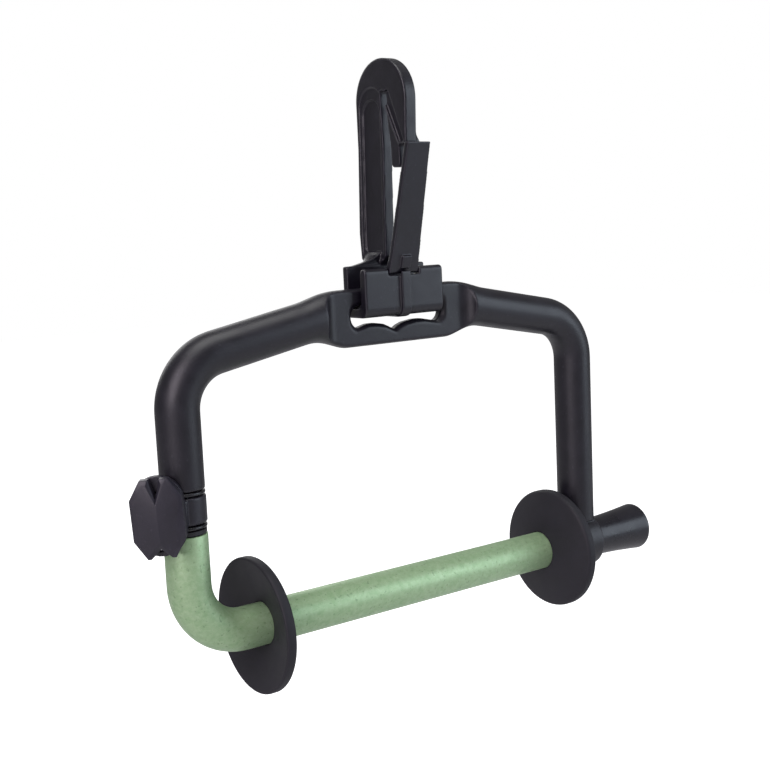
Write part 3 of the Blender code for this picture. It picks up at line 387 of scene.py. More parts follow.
class Finishes:
    """The materials of the object, made once and found by name."""

    def __init__(self, colours):
        self.colours = colours
        self.skin = make_skin_group()
        self.wear = make_wear_group()
        self.scratch = make_scratch_group()

    def start(self, name, roughness, metallic=0.0, specular=0.5):
        material = bpy.data.materials.new(name)
        material.use_nodes = True
        tree = material.node_tree
        shader = tree.nodes["Principled BSDF"]
        shader.inputs["Roughness"].default_value = roughness
        shader.inputs["Metallic"].default_value = metallic
        shader.inputs["Specular IOR Level"].default_value = specular
        vector = tree.nodes.new("ShaderNodeTexCoord").outputs["Object"]
        return material, tree, shader, vector

    def bump(self, tree, shader, height, strength, distance):
        node = add_node(tree, "ShaderNodeBump", [("Height", height)], in_Strength=strength,
                        in_Distance=distance)
        tree.links.new(node.outputs["Normal"], shader.inputs["Normal"])

    def moulded(self, name, base, light, wear_highlight_colour, roughness, grain, depth, specular=0.5):
        """A moulded plastic or rubber: grain, mottling, specks, and rubbed edges that also carry a painted
        highlight.
        """
        material, tree, shader, vector = self.start(name, roughness, 0.0, specular)
        skin = use_group(tree, self.skin, vector)
        skin.inputs["Grain"].default_value = grain
        wear = use_group(tree, self.wear, vector)
        bend = add_node(tree, "ShaderNodeAttribute", attribute_name="bend")
        tree.links.new(bend.outputs["Fac"], wear.inputs["Bend"])
        colour = mix_colour(tree, skin.outputs["Mottle"], rgba(base), rgba(light))
        shade = maths(tree, "MULTIPLY", skin.outputs["Specks"], SPECK_SHARE)
        colour = mix_colour(tree, shade, colour, rgba(wear_highlight_colour))
        # Outstanding edges take the worn colour: partly real wear, partly a painted highlight.
        wear_and_highlight = maths(tree, "MULTIPLY", wear.outputs["Rubbed"], WEAR_HIGHLIGHT_SHARE)
        colour = mix_colour(tree, wear_and_highlight, colour, rgba(wear_highlight_colour))
        tree.links.new(colour, shader.inputs["Base Color"])
        rough = range_node(tree, skin.outputs["Mottle"], 0.0, 1.0, roughness - 0.05, roughness + 0.05)
        rough = maths(tree, "ADD", rough, maths(tree, "MULTIPLY", wear.outputs["Sheltered"], 0.12))
        rough = maths(tree, "SUBTRACT", rough, maths(tree, "MULTIPLY", wear_and_highlight, 0.10))
        tree.links.new(rough, shader.inputs["Roughness"])
        self.bump(tree, shader, skin.outputs["Height"], 0.6, depth)
        return material

    def anodised(self):
        """Matt green anodising, mottled in fine specks, and paler where it is rubbed, which is partly wear
        and partly a painted highlight.
        """
        colours = self.colours
        material, tree, shader, vector = self.start("green_anodising", 0.42, 0.35)
        skin = use_group(tree, self.skin, vector)
        skin.inputs["Grain"].default_value = 3200.0
        skin.inputs["Patches"].default_value = 700.0
        skin.inputs["Specks"].default_value = 0.66
        wear = use_group(tree, self.wear, vector)
        bend = add_node(tree, "ShaderNodeAttribute", attribute_name="bend")
        tree.links.new(bend.outputs["Fac"], wear.inputs["Bend"])
        scratch = use_group(tree, self.scratch, vector)
        scratch.inputs["Stretch"].default_value = (0.35, 1.6, 1.6)
        scratch.inputs["Scale"].default_value = 420.0
        colour = mix_colour(tree, skin.outputs["Mottle"], rgba(colours.green), rgba(colours.green_pale))
        dark = scaled(colours.green, 0.45)
        colour = mix_colour(tree, maths(tree, "MULTIPLY", skin.outputs["Specks"], 0.5), colour, rgba(dark))
        pale = tuple(min(1.0, part * 1.9) for part in colours.green_pale)
        lines = maths(tree, "MULTIPLY", scratch.outputs["Scratches"], 0.10)
        colour = mix_colour(tree, lines, colour, rgba(pale))
        # Outstanding edges turn pale: partly rubbed wear, partly a painted highlight.
        colour = mix_colour(tree, maths(tree, "MULTIPLY", wear.outputs["Rubbed"], 0.7), colour, rgba(pale))
        tree.links.new(colour, shader.inputs["Base Color"])
        rough = range_node(tree, skin.outputs["Mottle"], 0.0, 1.0, 0.46, 0.38)
        tree.links.new(rough, shader.inputs["Roughness"])
        self.bump(tree, shader, skin.outputs["Height"], 0.5, 0.00003)
        return material

    def metal(self, name, colour, roughness, stretch):
        """Plated or ground metal with fine scratches and a little tarnish."""
        material, tree, shader, vector = self.start(name, roughness, 1.0)
        skin = use_group(tree, self.skin, vector)
        scratch = use_group(tree, self.scratch, vector)
        scratch.inputs["Stretch"].default_value = stretch
        dull = scaled(colour, 0.62)
        tone = mix_colour(tree, skin.outputs["Mottle"], rgba(colour), rgba(dull))
        tree.links.new(tone, shader.inputs["Base Color"])
        rough = range_node(tree, scratch.outputs["Scratches"], 0.0, 1.0, roughness, roughness + 0.18)
        tree.links.new(rough, shader.inputs["Roughness"])
        self.bump(tree, shader, scratch.outputs["Scratches"], 0.3, 0.00001)
        return material


FINISH = {}


# Mesh tools

def arc(centre, radius, start, end, steps):
    """Points of an arc, from one angle in degrees to another."""
    turns = [radians(start + (end - start) * i / steps) for i in range(steps + 1)]
    return [(centre[0] + radius * cos(turn), centre[1] + radius * sin(turn)) for turn in turns]


def mesh_from(name, bm):
    """A mesh with its doubles merged and its faces pointing out."""
    bmesh.ops.remove_doubles(bm, verts=bm.verts, dist=1e-7)
    bmesh.ops.recalc_face_normals(bm, faces=bm.faces)
    mesh = bpy.data.meshes.new(name)
    bm.to_mesh(mesh)
    bm.free()
    return mesh


def plate(name, outline, low, high, axis):
    """Extrude an outline along an axis. Its points are (y, z) for X, (x, z) for Y and (x, y) for Z."""
    bm = bmesh.new()
    corners = []
    for a, b in outline:
        corners.append(bm.verts.new({"X": (low, a, b), "Y": (a, low, b), "Z": (a, b, low)}[axis]))
    face = bm.faces.new(corners)
    grown = bmesh.ops.extrude_face_region(bm, geom=[face])
    moved = [item for item in grown["geom"] if isinstance(item, bmesh.types.BMVert)]
    step = Vector((0, 0, 0))
    step["XYZ".index(axis)] = high - low
    bmesh.ops.translate(bm, verts=moved, vec=step)
    return mesh_from(name, bm)


def turned(name, profile, axis, centre, sides=ROUND):
    """Spin a closed profile of (radius, distance along the axis) round X, Y or Z."""
    bm = bmesh.new()
    rings = []
    for step in range(sides):
        turn = 2 * pi * step / sides
        rings.append([bm.verts.new((r * cos(turn), r * sin(turn), along)) for r, along in profile])
    count = len(profile)
    for step in range(sides):
        here, there = rings[step], rings[(step + 1) % sides]
        for i in range(count):
            j = (i + 1) % count
            bm.faces.new((here[i], there[i], there[j], here[j]))
    turn = {"X": Matrix.Rotation(pi / 2, 4, "Y"), "Y": Matrix.Rotation(-pi / 2, 4, "X"),
            "Z": Matrix.Identity(4)}
    bm.transform(Matrix.Translation(Vector(centre)) @ turn[axis])
    bmesh.ops.remove_doubles(bm, verts=bm.verts, dist=1e-8)
    bmesh.ops.dissolve_degenerate(bm, edges=bm.edges, dist=1e-8)
    return mesh_from(name, bm)


def loft(name, rings):
    """Skin a list of closed rings that have as many points each, and close both ends."""
    bm = bmesh.new()
    loops = [[bm.verts.new(point) for point in points] for points in rings]
    count = len(loops[0])
    for here, there in zip(loops, loops[1:]):
        for i in range(count):
            j = (i + 1) % count
            bm.faces.new((here[i], here[j], there[j], there[i]))
    bm.faces.new(loops[0])
    bm.faces.new(loops[-1])
    return mesh_from(name, bm)


def solid(mesh):
    """Show a mesh as an object of the scene."""
    piece = bpy.data.objects.new(mesh.name, mesh)
    bpy.context.collection.objects.link(piece)
    return piece


def settle(piece):
    """Turn an object with its modifiers into a plain mesh."""
    depsgraph = bpy.context.evaluated_depsgraph_get()
    mesh = bpy.data.meshes.new_from_object(piece.evaluated_get(depsgraph))
    piece.modifiers.clear()
    piece.data = mesh
    return piece


def carve(piece, cuts, joins=()):
    """Join shapes on a piece, cut others from it, and leave a plain mesh."""
    helpers = []
    for operation, shapes in (("UNION", joins), ("DIFFERENCE", cuts)):
        for shape in shapes:
            helper = solid(shape)
            helpers.append(helper)
            modifier = piece.modifiers.new(shape.name, "BOOLEAN")
            modifier.operation = operation
            modifier.solver = "EXACT"
            modifier.object = helper
    settle(piece)
    for helper in helpers:
        bpy.data.objects.remove(helper, do_unlink=True)
    return piece


def round_off(piece, width, segments=2, angle=40):
    modifier = piece.modifiers.new("edges", "BEVEL")
    modifier.width = width
    modifier.segments = segments
    modifier.limit_method = "ANGLE"
    modifier.angle_limit = radians(angle)
    modifier.use_clamp_overlap = True
    return settle(piece)


def moulded_skin(piece, fineness, passes):
    """Give a carved piece one even skin, with the soft edges and corners of a moulding."""
    skin = piece.modifiers.new("skin", "REMESH")
    skin.mode = "VOXEL"
    skin.voxel_size = fineness
    skin.adaptivity = 0.0
    skin.use_smooth_shade = True
    if passes:
        soft = piece.modifiers.new("soft", "SMOOTH")
        soft.factor = 0.5
        soft.iterations = passes
    return settle(piece)


def neighbour_mean(values, pairs, degree):
    total = np.zeros_like(values)
    for near, far in ((pairs[:, 0], pairs[:, 1]), (pairs[:, 1], pairs[:, 0])):
        for axis in range(values.shape[1]):
            total[:, axis] += np.bincount(near, weights=values[far, axis], minlength=len(values))
    return total / degree[:, None]


def mark_bends(mesh, spread=2):
    """Store on each point how far it stands out from its neighbours, for the rubbed edges and their painted
    highlight.
    """
    count = len(mesh.vertices)
    places = np.empty(count * 3)
    mesh.vertices.foreach_get("co", places)
    places = places.reshape(-1, 3)
    normals = np.empty(count * 3)
    mesh.vertices.foreach_get("normal", normals)
    normals = normals.reshape(-1, 3)
    pairs = np.empty(len(mesh.edges) * 2, dtype=np.int64)
    mesh.edges.foreach_get("vertices", pairs)
    pairs = pairs.reshape(-1, 2)
    degree = np.maximum(1, np.bincount(pairs.ravel(), minlength=count)).astype(float)
    lengths = np.linalg.norm(places[pairs[:, 0]] - places[pairs[:, 1]], axis=1)
    reach = np.bincount(pairs.ravel(), weights=np.repeat(lengths, 2), minlength=count) / degree
    offset = places - neighbour_mean(places, pairs, degree)
    bend = (offset * normals).sum(axis=1) / np.maximum(reach, 1e-9)
    bend = bend[:, None]
    for _ in range(spread):
        bend = (bend + neighbour_mean(bend, pairs, degree)) / 2
    layer = mesh.attributes.new("bend", "FLOAT", "POINT")
    layer.data.foreach_set("value", bend[:, 0].astype(np.float32))


def finish(piece, name, material, body, nodes, sharp=None):
    """Name a piece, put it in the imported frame, give it its material and hang it on its body."""
    piece.name = name
    piece.data.name = name
    piece.data.transform(Matrix.Translation(MIDDLE))
    piece.data.shade_smooth()
    if sharp is not None:
        piece.data.set_sharp_from_angle(angle=radians(sharp))
    mark_bends(piece.data)
    piece.data.materials.clear()
    piece.data.materials.append(FINISH[material])
    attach(piece, body)
    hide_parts(*nodes)


def dress_node(node, material):
    """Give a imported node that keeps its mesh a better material."""
    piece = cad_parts[node]
    piece = piece if hasattr(piece, "data") else bpy.data.objects[node]
    for slot in piece.material_slots:
        slot.material = FINISH[material]
    if not piece.material_slots:
        piece.data.materials.append(FINISH[material])


# Geometry node trees

def geometry_tree(name, inputs):
    """An empty geometry tree, its input and output nodes, and a way to add others by their links."""
    tree = bpy.data.node_groups.new(name, "GeometryNodeTree")
    tree.interface.new_socket("Geometry", in_out="OUTPUT", socket_type="NodeSocketGeometry")
    for socket, kind, value in inputs:
        made = tree.interface.new_socket(socket, in_out="INPUT", socket_type="NodeSocket" + kind)
        if value is not None:
            made.default_value = value
    start = tree.nodes.new("NodeGroupInput")
    end = tree.nodes.new("NodeGroupOutput")

    def put(kind, *links, **values):
        found = [(key, start.outputs[item] if isinstance(item, str) else item) for key, item in links]
        return add_node(tree, kind, found, **values)

    return tree, start, end, put


def close_tree(tree, start, end, geometry):
    """End a tree in real geometry with its material set."""
    real = add_node(tree, "GeometryNodeRealizeInstances", [("Geometry", geometry)])
    coat = add_node(tree, "GeometryNodeSetMaterial", [("Geometry", real.outputs["Geometry"]),
                                                      ("Material", start.outputs["Material"])])
    tree.links.new(coat.outputs["Geometry"], end.inputs["Geometry"])


def make_ring_tree():
    """A ring with a rounded section, round the Z axis, for discs, seals and the collar."""
    inputs = [("Inner Radius", "Float", 0.005), ("Outer Radius", "Float", 0.01),
              ("Thickness", "Float", 0.002), ("Edge Radius", "Float", 0.0005),
              ("Bore Edge", "Float", 0.0005), ("Dish", "Float", 0.0), ("Sides", "Int", ROUND),
              ("Edge Steps", "Int", 4), ("Material", "Material", None)]
    tree, start, end, put = geometry_tree("rounded_ring", inputs)
    inner, outer = start.outputs["Inner Radius"], start.outputs["Outer Radius"]
    middle = maths(tree, "MULTIPLY", maths(tree, "ADD", inner, outer), 0.5)
    width = maths(tree, "SUBTRACT", outer, inner)
    path = put("GeometryNodeCurvePrimitiveCircle", ("Resolution", "Sides"), ("Radius", middle))
    section = put("GeometryNodeCurvePrimitiveQuadrilateral", ("Width", width), ("Height", "Thickness"))
    place = tree.nodes.new("GeometryNodeInputPosition").outputs["Position"]
    split = put("ShaderNodeSeparateXYZ", ("Vector", place))
    is_bore = put("FunctionNodeCompare", ("A", split.outputs["X"]), data_type="FLOAT", operation="LESS_THAN")
    edge = put("GeometryNodeSwitch", ("Switch", is_bore.outputs["Result"]), ("False", "Edge Radius"),
               ("True", "Bore Edge"), input_type="FLOAT")
    rounded = put("GeometryNodeFilletCurve", ("Curve", section.outputs["Curve"]),
                  ("Radius", edge.outputs["Output"]), ("Count", "Edge Steps"), mode="POLY")
    swept = put("GeometryNodeCurveToMesh", ("Curve", path.outputs["Curve"]),
                ("Profile Curve", rounded.outputs["Curve"]))
    flat = put("ShaderNodeVectorMath", (0, place), operation="MULTIPLY", in_1=(1.0, 1.0, 0.0))
    reach = put("ShaderNodeVectorMath", (0, flat.outputs["Vector"]), operation="LENGTH")
    share = maths(tree, "DIVIDE", maths(tree, "SUBTRACT", outer, reach.outputs["Value"]), width)
    rise = maths(tree, "MULTIPLY", share, start.outputs["Dish"])
    lift = put("ShaderNodeCombineXYZ", ("Z", rise))
    dished = put("GeometryNodeSetPosition", ("Geometry", swept.outputs["Mesh"]),
                 ("Offset", lift.outputs["Vector"]))
    close_tree(tree, start, end, dished.outputs["Geometry"])
    return tree


def make_bent_tube_tree():
    """A round bar swept down, round one bend and along, from its top to its open end."""
    inputs = [("Radius", "Float", 0.005), ("Bend Radius", "Float", 0.013), ("Top", "Vector", (0, 0, 0.03)),
              ("Corner", "Vector", (0, 0, 0)), ("End", "Vector", (0.1, 0, 0)), ("Sides", "Int", ROUND),
              ("Bend Steps", "Int", 40), ("Material", "Material", None)]
    tree, start, end, put = geometry_tree("bent_tube", inputs)
    along = put("GeometryNodeCurvePrimitiveLine", ("Start", "Top"), ("End", "End"))
    finer = put("GeometryNodeResampleCurve", ("Curve", along.outputs["Curve"]), in_Count=3)
    index = tree.nodes.new("GeometryNodeInputIndex").outputs["Index"]
    is_middle = put("FunctionNodeCompare", ("A", index), data_type="INT", operation="EQUAL")
    is_middle.inputs["B"].default_value = 1
    bent = put("GeometryNodeSetPosition", ("Geometry", finer.outputs["Curve"]),
               ("Selection", is_middle.outputs["Result"]), ("Position", "Corner"))
    rounded = put("GeometryNodeFilletCurve", ("Curve", bent.outputs["Geometry"]), ("Radius", "Bend Radius"),
                  ("Count", "Bend Steps"), mode="POLY")
    section = put("GeometryNodeCurvePrimitiveCircle", ("Resolution", "Sides"), ("Radius", "Radius"))
    swept = put("GeometryNodeCurveToMesh", ("Curve", rounded.outputs["Curve"]),
                ("Profile Curve", section.outputs["Curve"]))
    close_tree(tree, start, end, swept.outputs["Mesh"])
    return tree


def grow(tree, name, values):
    """Run a geometry tree with its inputs set, and keep the result as a plain mesh."""
    piece = solid(bpy.data.meshes.new(name))
    modifier = piece.modifiers.new(name, "NODES")
    modifier.node_group = tree
    for item in tree.interface.items_tree:
        if item.item_type == "SOCKET" and item.in_out == "INPUT" and item.name in values:
            modifier[item.identifier] = values[item.name]
    return settle(piece)


def fix_normals(piece):
    bm = bmesh.new()
    bm.from_mesh(piece.data)
    bmesh.ops.remove_doubles(bm, verts=bm.verts, dist=1e-7)
    bmesh.ops.recalc_face_normals(bm, faces=bm.faces)
    bm.to_mesh(piece.data)
    bm.free()
    return piece


def make_ring(tree, name, inner, outer, low, high, edge, axis, material, bore_edge=None, dish=0.0):
    """A rounded ring round an axis through the frame's zero, its middle pushed along by dish."""
    values = {"Inner Radius": inner, "Outer Radius": outer, "Thickness": high - low, "Edge Radius": edge,
              "Bore Edge": edge if bore_edge is None else bore_edge, "Dish": dish,
              "Material": FINISH[material]}
    piece = grow(tree, name, values)
    turn = Matrix.Rotation(pi / 2, 4, "Y") if axis == "X" else Matrix.Identity(4)
    piece.data.transform(turn)
    return fix_normals(piece)


# Arch

def eased(share):
    share = min(1.0, max(0.0, share))
    return share * share * (3 - 2 * share)


def arch_path():
    """Points and headings of the frame's axis, from the left arm's foot to the middle of the eye."""
    centre = (-HALF_SPAN + CORNER_RADIUS, CORNER_START)
    path = [((-HALF_SPAN, LEFT_ARM_END), pi / 2)]
    steps = 24
    for i in range(steps + 1):
        turn = (pi / 2 - ARCH_SLOPE) * i / steps
        place = (centre[0] - CORNER_RADIUS * cos(turn), centre[1] + CORNER_RADIUS * sin(turn))
        path.append((place, pi / 2 - turn))
    top = path[-1][0]
    path.append(((-EYE_BLEND_START, top[1] + (-EYE_BLEND_START - top[0]) * tan(ARCH_SLOPE)), ARCH_SLOPE))
    start = path[-1][0]
    steps = 16
    for i in range(1, steps + 1):
        share = i / steps
        across = start[0] + (-EYE_BLEND_END - start[0]) * share
        straight = start[1] + (across - start[0]) * tan(ARCH_SLOPE)
        height = straight + (EYE_HEIGHT - straight) * eased(share)
        path.append(((across, height), ARCH_SLOPE * (1 - share)))
    path.append(((0.0, EYE_HEIGHT), 0.0))
    return path


def arch_section(place, heading):
    ease = eased((place[0] + EYE_BLEND_START) / (EYE_BLEND_START - EYE_BLEND_END))
    tall = ARM_RADIUS + (EYE_HALF_HEIGHT - ARM_RADIUS) * ease
    points = []
    for i in range(ROUND):
        angle = 2 * pi * i / ROUND
        across = tall * cos(angle)
        depth = ARM_RADIUS * sin(angle)
        points.append((place[0] - across * sin(heading), depth, place[1] + across * cos(heading)))
    return points


def flat_outline(side):
    """Outline (x, y) of what is cut from the eye's front or back: a flat that ends in two scoops."""
    beyond = ARM_RADIUS + FLAT_COVE
    right = arc((FLAT_HALF_LENGTH, -EYE_HALF_DEPTH - FLAT_COVE), FLAT_COVE, 90, 0, 24)
    points = [(-x, y) for x, y in reversed(right)] + right
    points += [(FLAT_HALF_LENGTH + FLAT_COVE, -beyond), (-FLAT_HALF_LENGTH - FLAT_COVE, -beyond)]
    return [(x, -side * y) for x, y in points]


def slot_outline(grow_by):
    end = SLOT_HALF_LENGTH + grow_by
    low = SLOT_BOTTOM - grow_by
    top = SLOT_TOP + grow_by
    corner = (SLOT_TOP - SLOT_BOTTOM) / 2
    points = arc((end - SLOT_CORNER, top - SLOT_CORNER), SLOT_CORNER, 0, 90, 10)
    points += arc((-end + corner, top - corner), corner, 90, 180, 12)
    points += arc((-end + corner, low + corner), corner, 180, 250, 8)
    for share, rise in reversed(SLOT_FLOOR):
        points.append((end * share, low + rise * (SLOT_HUMP if rise > 0 else SLOT_NOTCH)))
    points += arc((end - corner, low + corner), corner, 290, 350, 8)
    return points


def build_arch(sizes):
    left = [arch_section(place, heading) for place, heading in arch_path()]
    rings = left + [[(-x, y, z) for x, y, z in points] for points in reversed(left[:-1])]
    foot = CRADLE_BORE + CRADLE_WALL / 2
    rings[-1] = [(x, y, foot) for x, y, z in rings[-1]]
    arch = solid(loft("arch", rings))

    outer = CRADLE_BORE + CRADLE_WALL
    half = CRADLE_WIDTH / 2
    edge = CRADLE_EDGE
    profile = [(0.0, -half), (outer - edge, -half), (outer, -half + edge), (outer, half - edge),
               (outer - edge, half), (0.0, half)]
    hub = turned("cradle_hub", profile, "X", (RIGHT_ARM, 0, 0))
    reach = outer * 2
    outline = arc((0, 0), CRADLE_BORE, 90, 270, ROUND // 2)
    outline += [(CRADLE_LIP, -CRADLE_BORE), (CRADLE_LIP, -reach), (reach, -reach), (reach, CRADLE_BORE)]
    cuts = [plate("cradle_mouth", outline, RIGHT_ARM - reach, RIGHT_ARM + reach, "X")]
    for name, side in (("eye_front", 1), ("eye_back", -1)):
        low = EYE_HEIGHT - 2 * EYE_HALF_HEIGHT
        high = EYE_HEIGHT + 2 * EYE_HALF_HEIGHT
        cuts.append(plate(name, flat_outline(side), low, high, "Z"))
    edge = EYE_HALF_DEPTH - SLOT_CHAMFER
    beyond = EYE_HALF_DEPTH + GAP
    grown = SLOT_CHAMFER + GAP
    rings = []
    for depth, grow_by in ((-beyond, grown), (-edge, 0.0), (edge, 0.0), (beyond, grown)):
        rings.append([(x, depth, z) for x, z in slot_outline(grow_by)])
    cuts.append(loft("eye_slot", rings))
    hole = [(0.0, LEFT_ARM_END - GAP), (INSERT_HOLE, LEFT_ARM_END - GAP),
            (INSERT_HOLE, LEFT_ARM_END + INSERT_DEPTH), (0.0, LEFT_ARM_END + INSERT_DEPTH)]
    cuts.append(turned("insert_hole", hole, "Z", (LEFT_ARM, 0, 0), 48))
    carve(arch, cuts, [hub])
    moulded_skin(arch, sizes.grain * 1.1, sizes.soften)
    finish(arch, "arch_skin", "frame_plastic", "arch", ["frame"])


# Hook

def head_outline():
    """Outline (y, z) of the hook's head, tongue and shank, with the throat."""
    throat_y, throat_z = THROAT_CENTRE
    head_y, head_z = HEAD_CENTRE
    front = head_y - HEAD_RADIUS + NOSE_DEPTH
    back = front + TONGUE_DEPTH
    tip = TONGUE_EDGE
    leg = BACK_LEG_TOP - LEG_OVERLAP
    points = [(FOOT_SLOT_BACK, leg), (FOOT_SLOT_BACK, BACK_LEG_TOP)]
    points += [(SHANK_FRONT_FOOT, BACK_LEG_TOP + LEG_OVERLAP), (SHANK_FRONT, SHOULDER)]
    points += arc((throat_y, throat_z), THROAT_RADIUS, 0, 155, 14)
    points += [(back, SHOULDER - tip), (back, TONGUE_END + tip)]
    points += [(back - tip, TONGUE_END), (front + tip, TONGUE_END), (front, TONGUE_END + tip)]
    points += [(front, SHOULDER)]
    points += [(head_y - HEAD_RADIUS + NOSE_EDGE, SHOULDER)]
    points += arc((head_y, head_z), HEAD_RADIUS, 183, -3, 60)
    neck = SHANK_FOOT - SHANK_NECK
    points += [(SHANK_BACK_TOP, SHOULDER), (SHANK_BACK_FOOT, SHANK_FOOT)]
    points += [(SHANK_BACK_FOOT - SHANK_EASE, neck)]
    points += [((SHANK_BACK_FOOT + FOOT_BACK) / 2, (neck + BACK_LEG_TOP) / 2), (FOOT_BACK, BACK_LEG_TOP)]
    points += [(FOOT_BACK, leg)]
    return points


def foot_outline():
    """Outline (y, z) of the U under the shank, its leg tops rounded."""
    bend = (FOOT_SLOT_BACK - FOOT_SLOT_FRONT) / 2 - FOOT_FLAT
    inner = FOOT_BOTTOM + FOOT_WALL
    front = FOOT_FRONT_RADIUS
    back = FOOT_BACK_RADIUS
    leg = (FOOT_SLOT_FRONT - FOOT_FRONT) / 2
    points = arc((FOOT_FRONT + leg, FRONT_LEG_TOP - leg), leg, 90, 180, 8)
    points += arc((FOOT_FRONT + front, FOOT_BOTTOM + front), front, 180, 270, 14)
    points += arc((FOOT_BACK - back, FOOT_BOTTOM + back), back, 270, 360, 18)
    points += [(FOOT_BACK, BACK_LEG_TOP), (FOOT_SLOT_BACK, BACK_LEG_TOP)]
    points += arc((FOOT_SLOT_BACK - bend, inner + bend), bend, 0, -90, 14)
    points += arc((FOOT_SLOT_FRONT + bend, inner + bend), bend, 270, 180, 14)
    points += arc((FOOT_FRONT + leg, FRONT_LEG_TOP - leg), leg, 0, 80, 8)
    return points


def flare_rings(thickness, widest):
    """Rings of the gussets that sweep from the back leg's ends up to the shank's back."""
    half = thickness / 2 - STEP_DEPTH
    front = FOOT_SLOT_BACK + GAP
    near = FOOT_BACK - GAP
    far = SHANK_BACK_FOOT - FLARE_INSET
    corners = [(-widest, front), (widest, front), (widest, near), (half, near), (-half, near)]
    corners += [(-widest, near)]
    rings = [[(x, y, BACK_LEG_TOP - LEG_OVERLAP) for x, y in corners]]
    steps = 12
    for step in range(steps + 1):
        share = step / steps
        wide = half + GAP + (widest - half - GAP) * (1 - share) ** 2
        height = BACK_LEG_TOP - GAP + FLARE_HEIGHT * share
        corners = [(-wide, front), (wide, front), (wide, near), (half, far), (-half, far), (-wide, near)]
        rings.append([(x, y, height) for x, y in corners])
    return rings


def step_outline(rim):
    """Outline (y, z) of the shallow step inside the rim: the shank's side, an arch, and the tongue's."""
    tongue_front = HEAD_CENTRE[0] - HEAD_RADIUS + NOSE_DEPTH
    before = SHANK_FRONT - rim
    foot = BACK_LEG_TOP + rim
    radius = (SHANK_BACK_TOP - rim - STEP_FRONT) / 2
    points = [(before, foot), (SHANK_BACK_FOOT - 2 * rim, foot), (SHANK_BACK_FOOT - rim, foot + rim)]
    points += [(SHANK_BACK_FOOT - rim, SHANK_FOOT)]
    points += arc((STEP_FRONT + radius, STEP_TOP - radius), radius, 0, 145, 40)
    points += [(tongue_front, SHOULDER), (tongue_front, TONGUE_END - GAP), (before, TONGUE_END - GAP)]
    return points


def panel_outline(rim):
    """Outline (y, z) of the deeper panel in the shank's side."""
    front = SHANK_FRONT + PANEL_FRONT_RIM
    back = SHANK_BACK_TOP - PANEL_RIM
    radius = (back - front) / 2
    foot = BACK_LEG_TOP + LEG_OVERLAP + rim / 2
    deep_back = SHANK_BACK_FOOT - PANEL_RIM
    points = [(SHANK_FRONT_FOOT + PANEL_FRONT_RIM, foot), (deep_back - rim, foot), (deep_back, foot + rim)]
    points += [(deep_back, SHANK_FOOT)]
    points += arc(((front + back) / 2, PANEL_TOP - radius), radius, 0, 180, 40)
    return points


def strip_outline():
    """Outline (y, z) of the sunk strip that runs down the nose in front of the step."""
    tongue_front = HEAD_CENTRE[0] - HEAD_RADIUS + NOSE_DEPTH
    top = THROAT_CENTRE[1] + THROAT_RADIUS
    low = SHOULDER + NOSE_EDGE
    return [(STEP_FRONT + NOSE_EDGE, top - NOSE_EDGE), (tongue_front, low), (tongue_front - STRIP_WIDTH, low),
            (STEP_FRONT - STRIP_WIDTH, top)]


def foot_rib_outline():
    """Outline (y, z) of the rib that runs down the foot's front and under it."""
    front = FOOT_FRONT - RIB_DEPTH
    low = FOOT_BOTTOM - RIB_DEPTH / 2
    end = FOOT_BACK - FOOT_BACK_RADIUS
    bend = FOOT_FRONT_RADIUS + RIB_DEPTH / 2
    within = FOOT_BOTTOM + FOOT_WALL / 2
    points = [(FOOT_FRONT + RIB_ROOT, RIB_SPLIT), (front, RIB_SPLIT)]
    points += arc((front + bend, low + bend), bend, 180, 270, 14)
    points += [(end, low), (end, within), (FOOT_FRONT + FOOT_FRONT_RADIUS, within)]
    points += [(FOOT_FRONT + RIB_ROOT, FOOT_BOTTOM + FOOT_FRONT_RADIUS)]
    return points


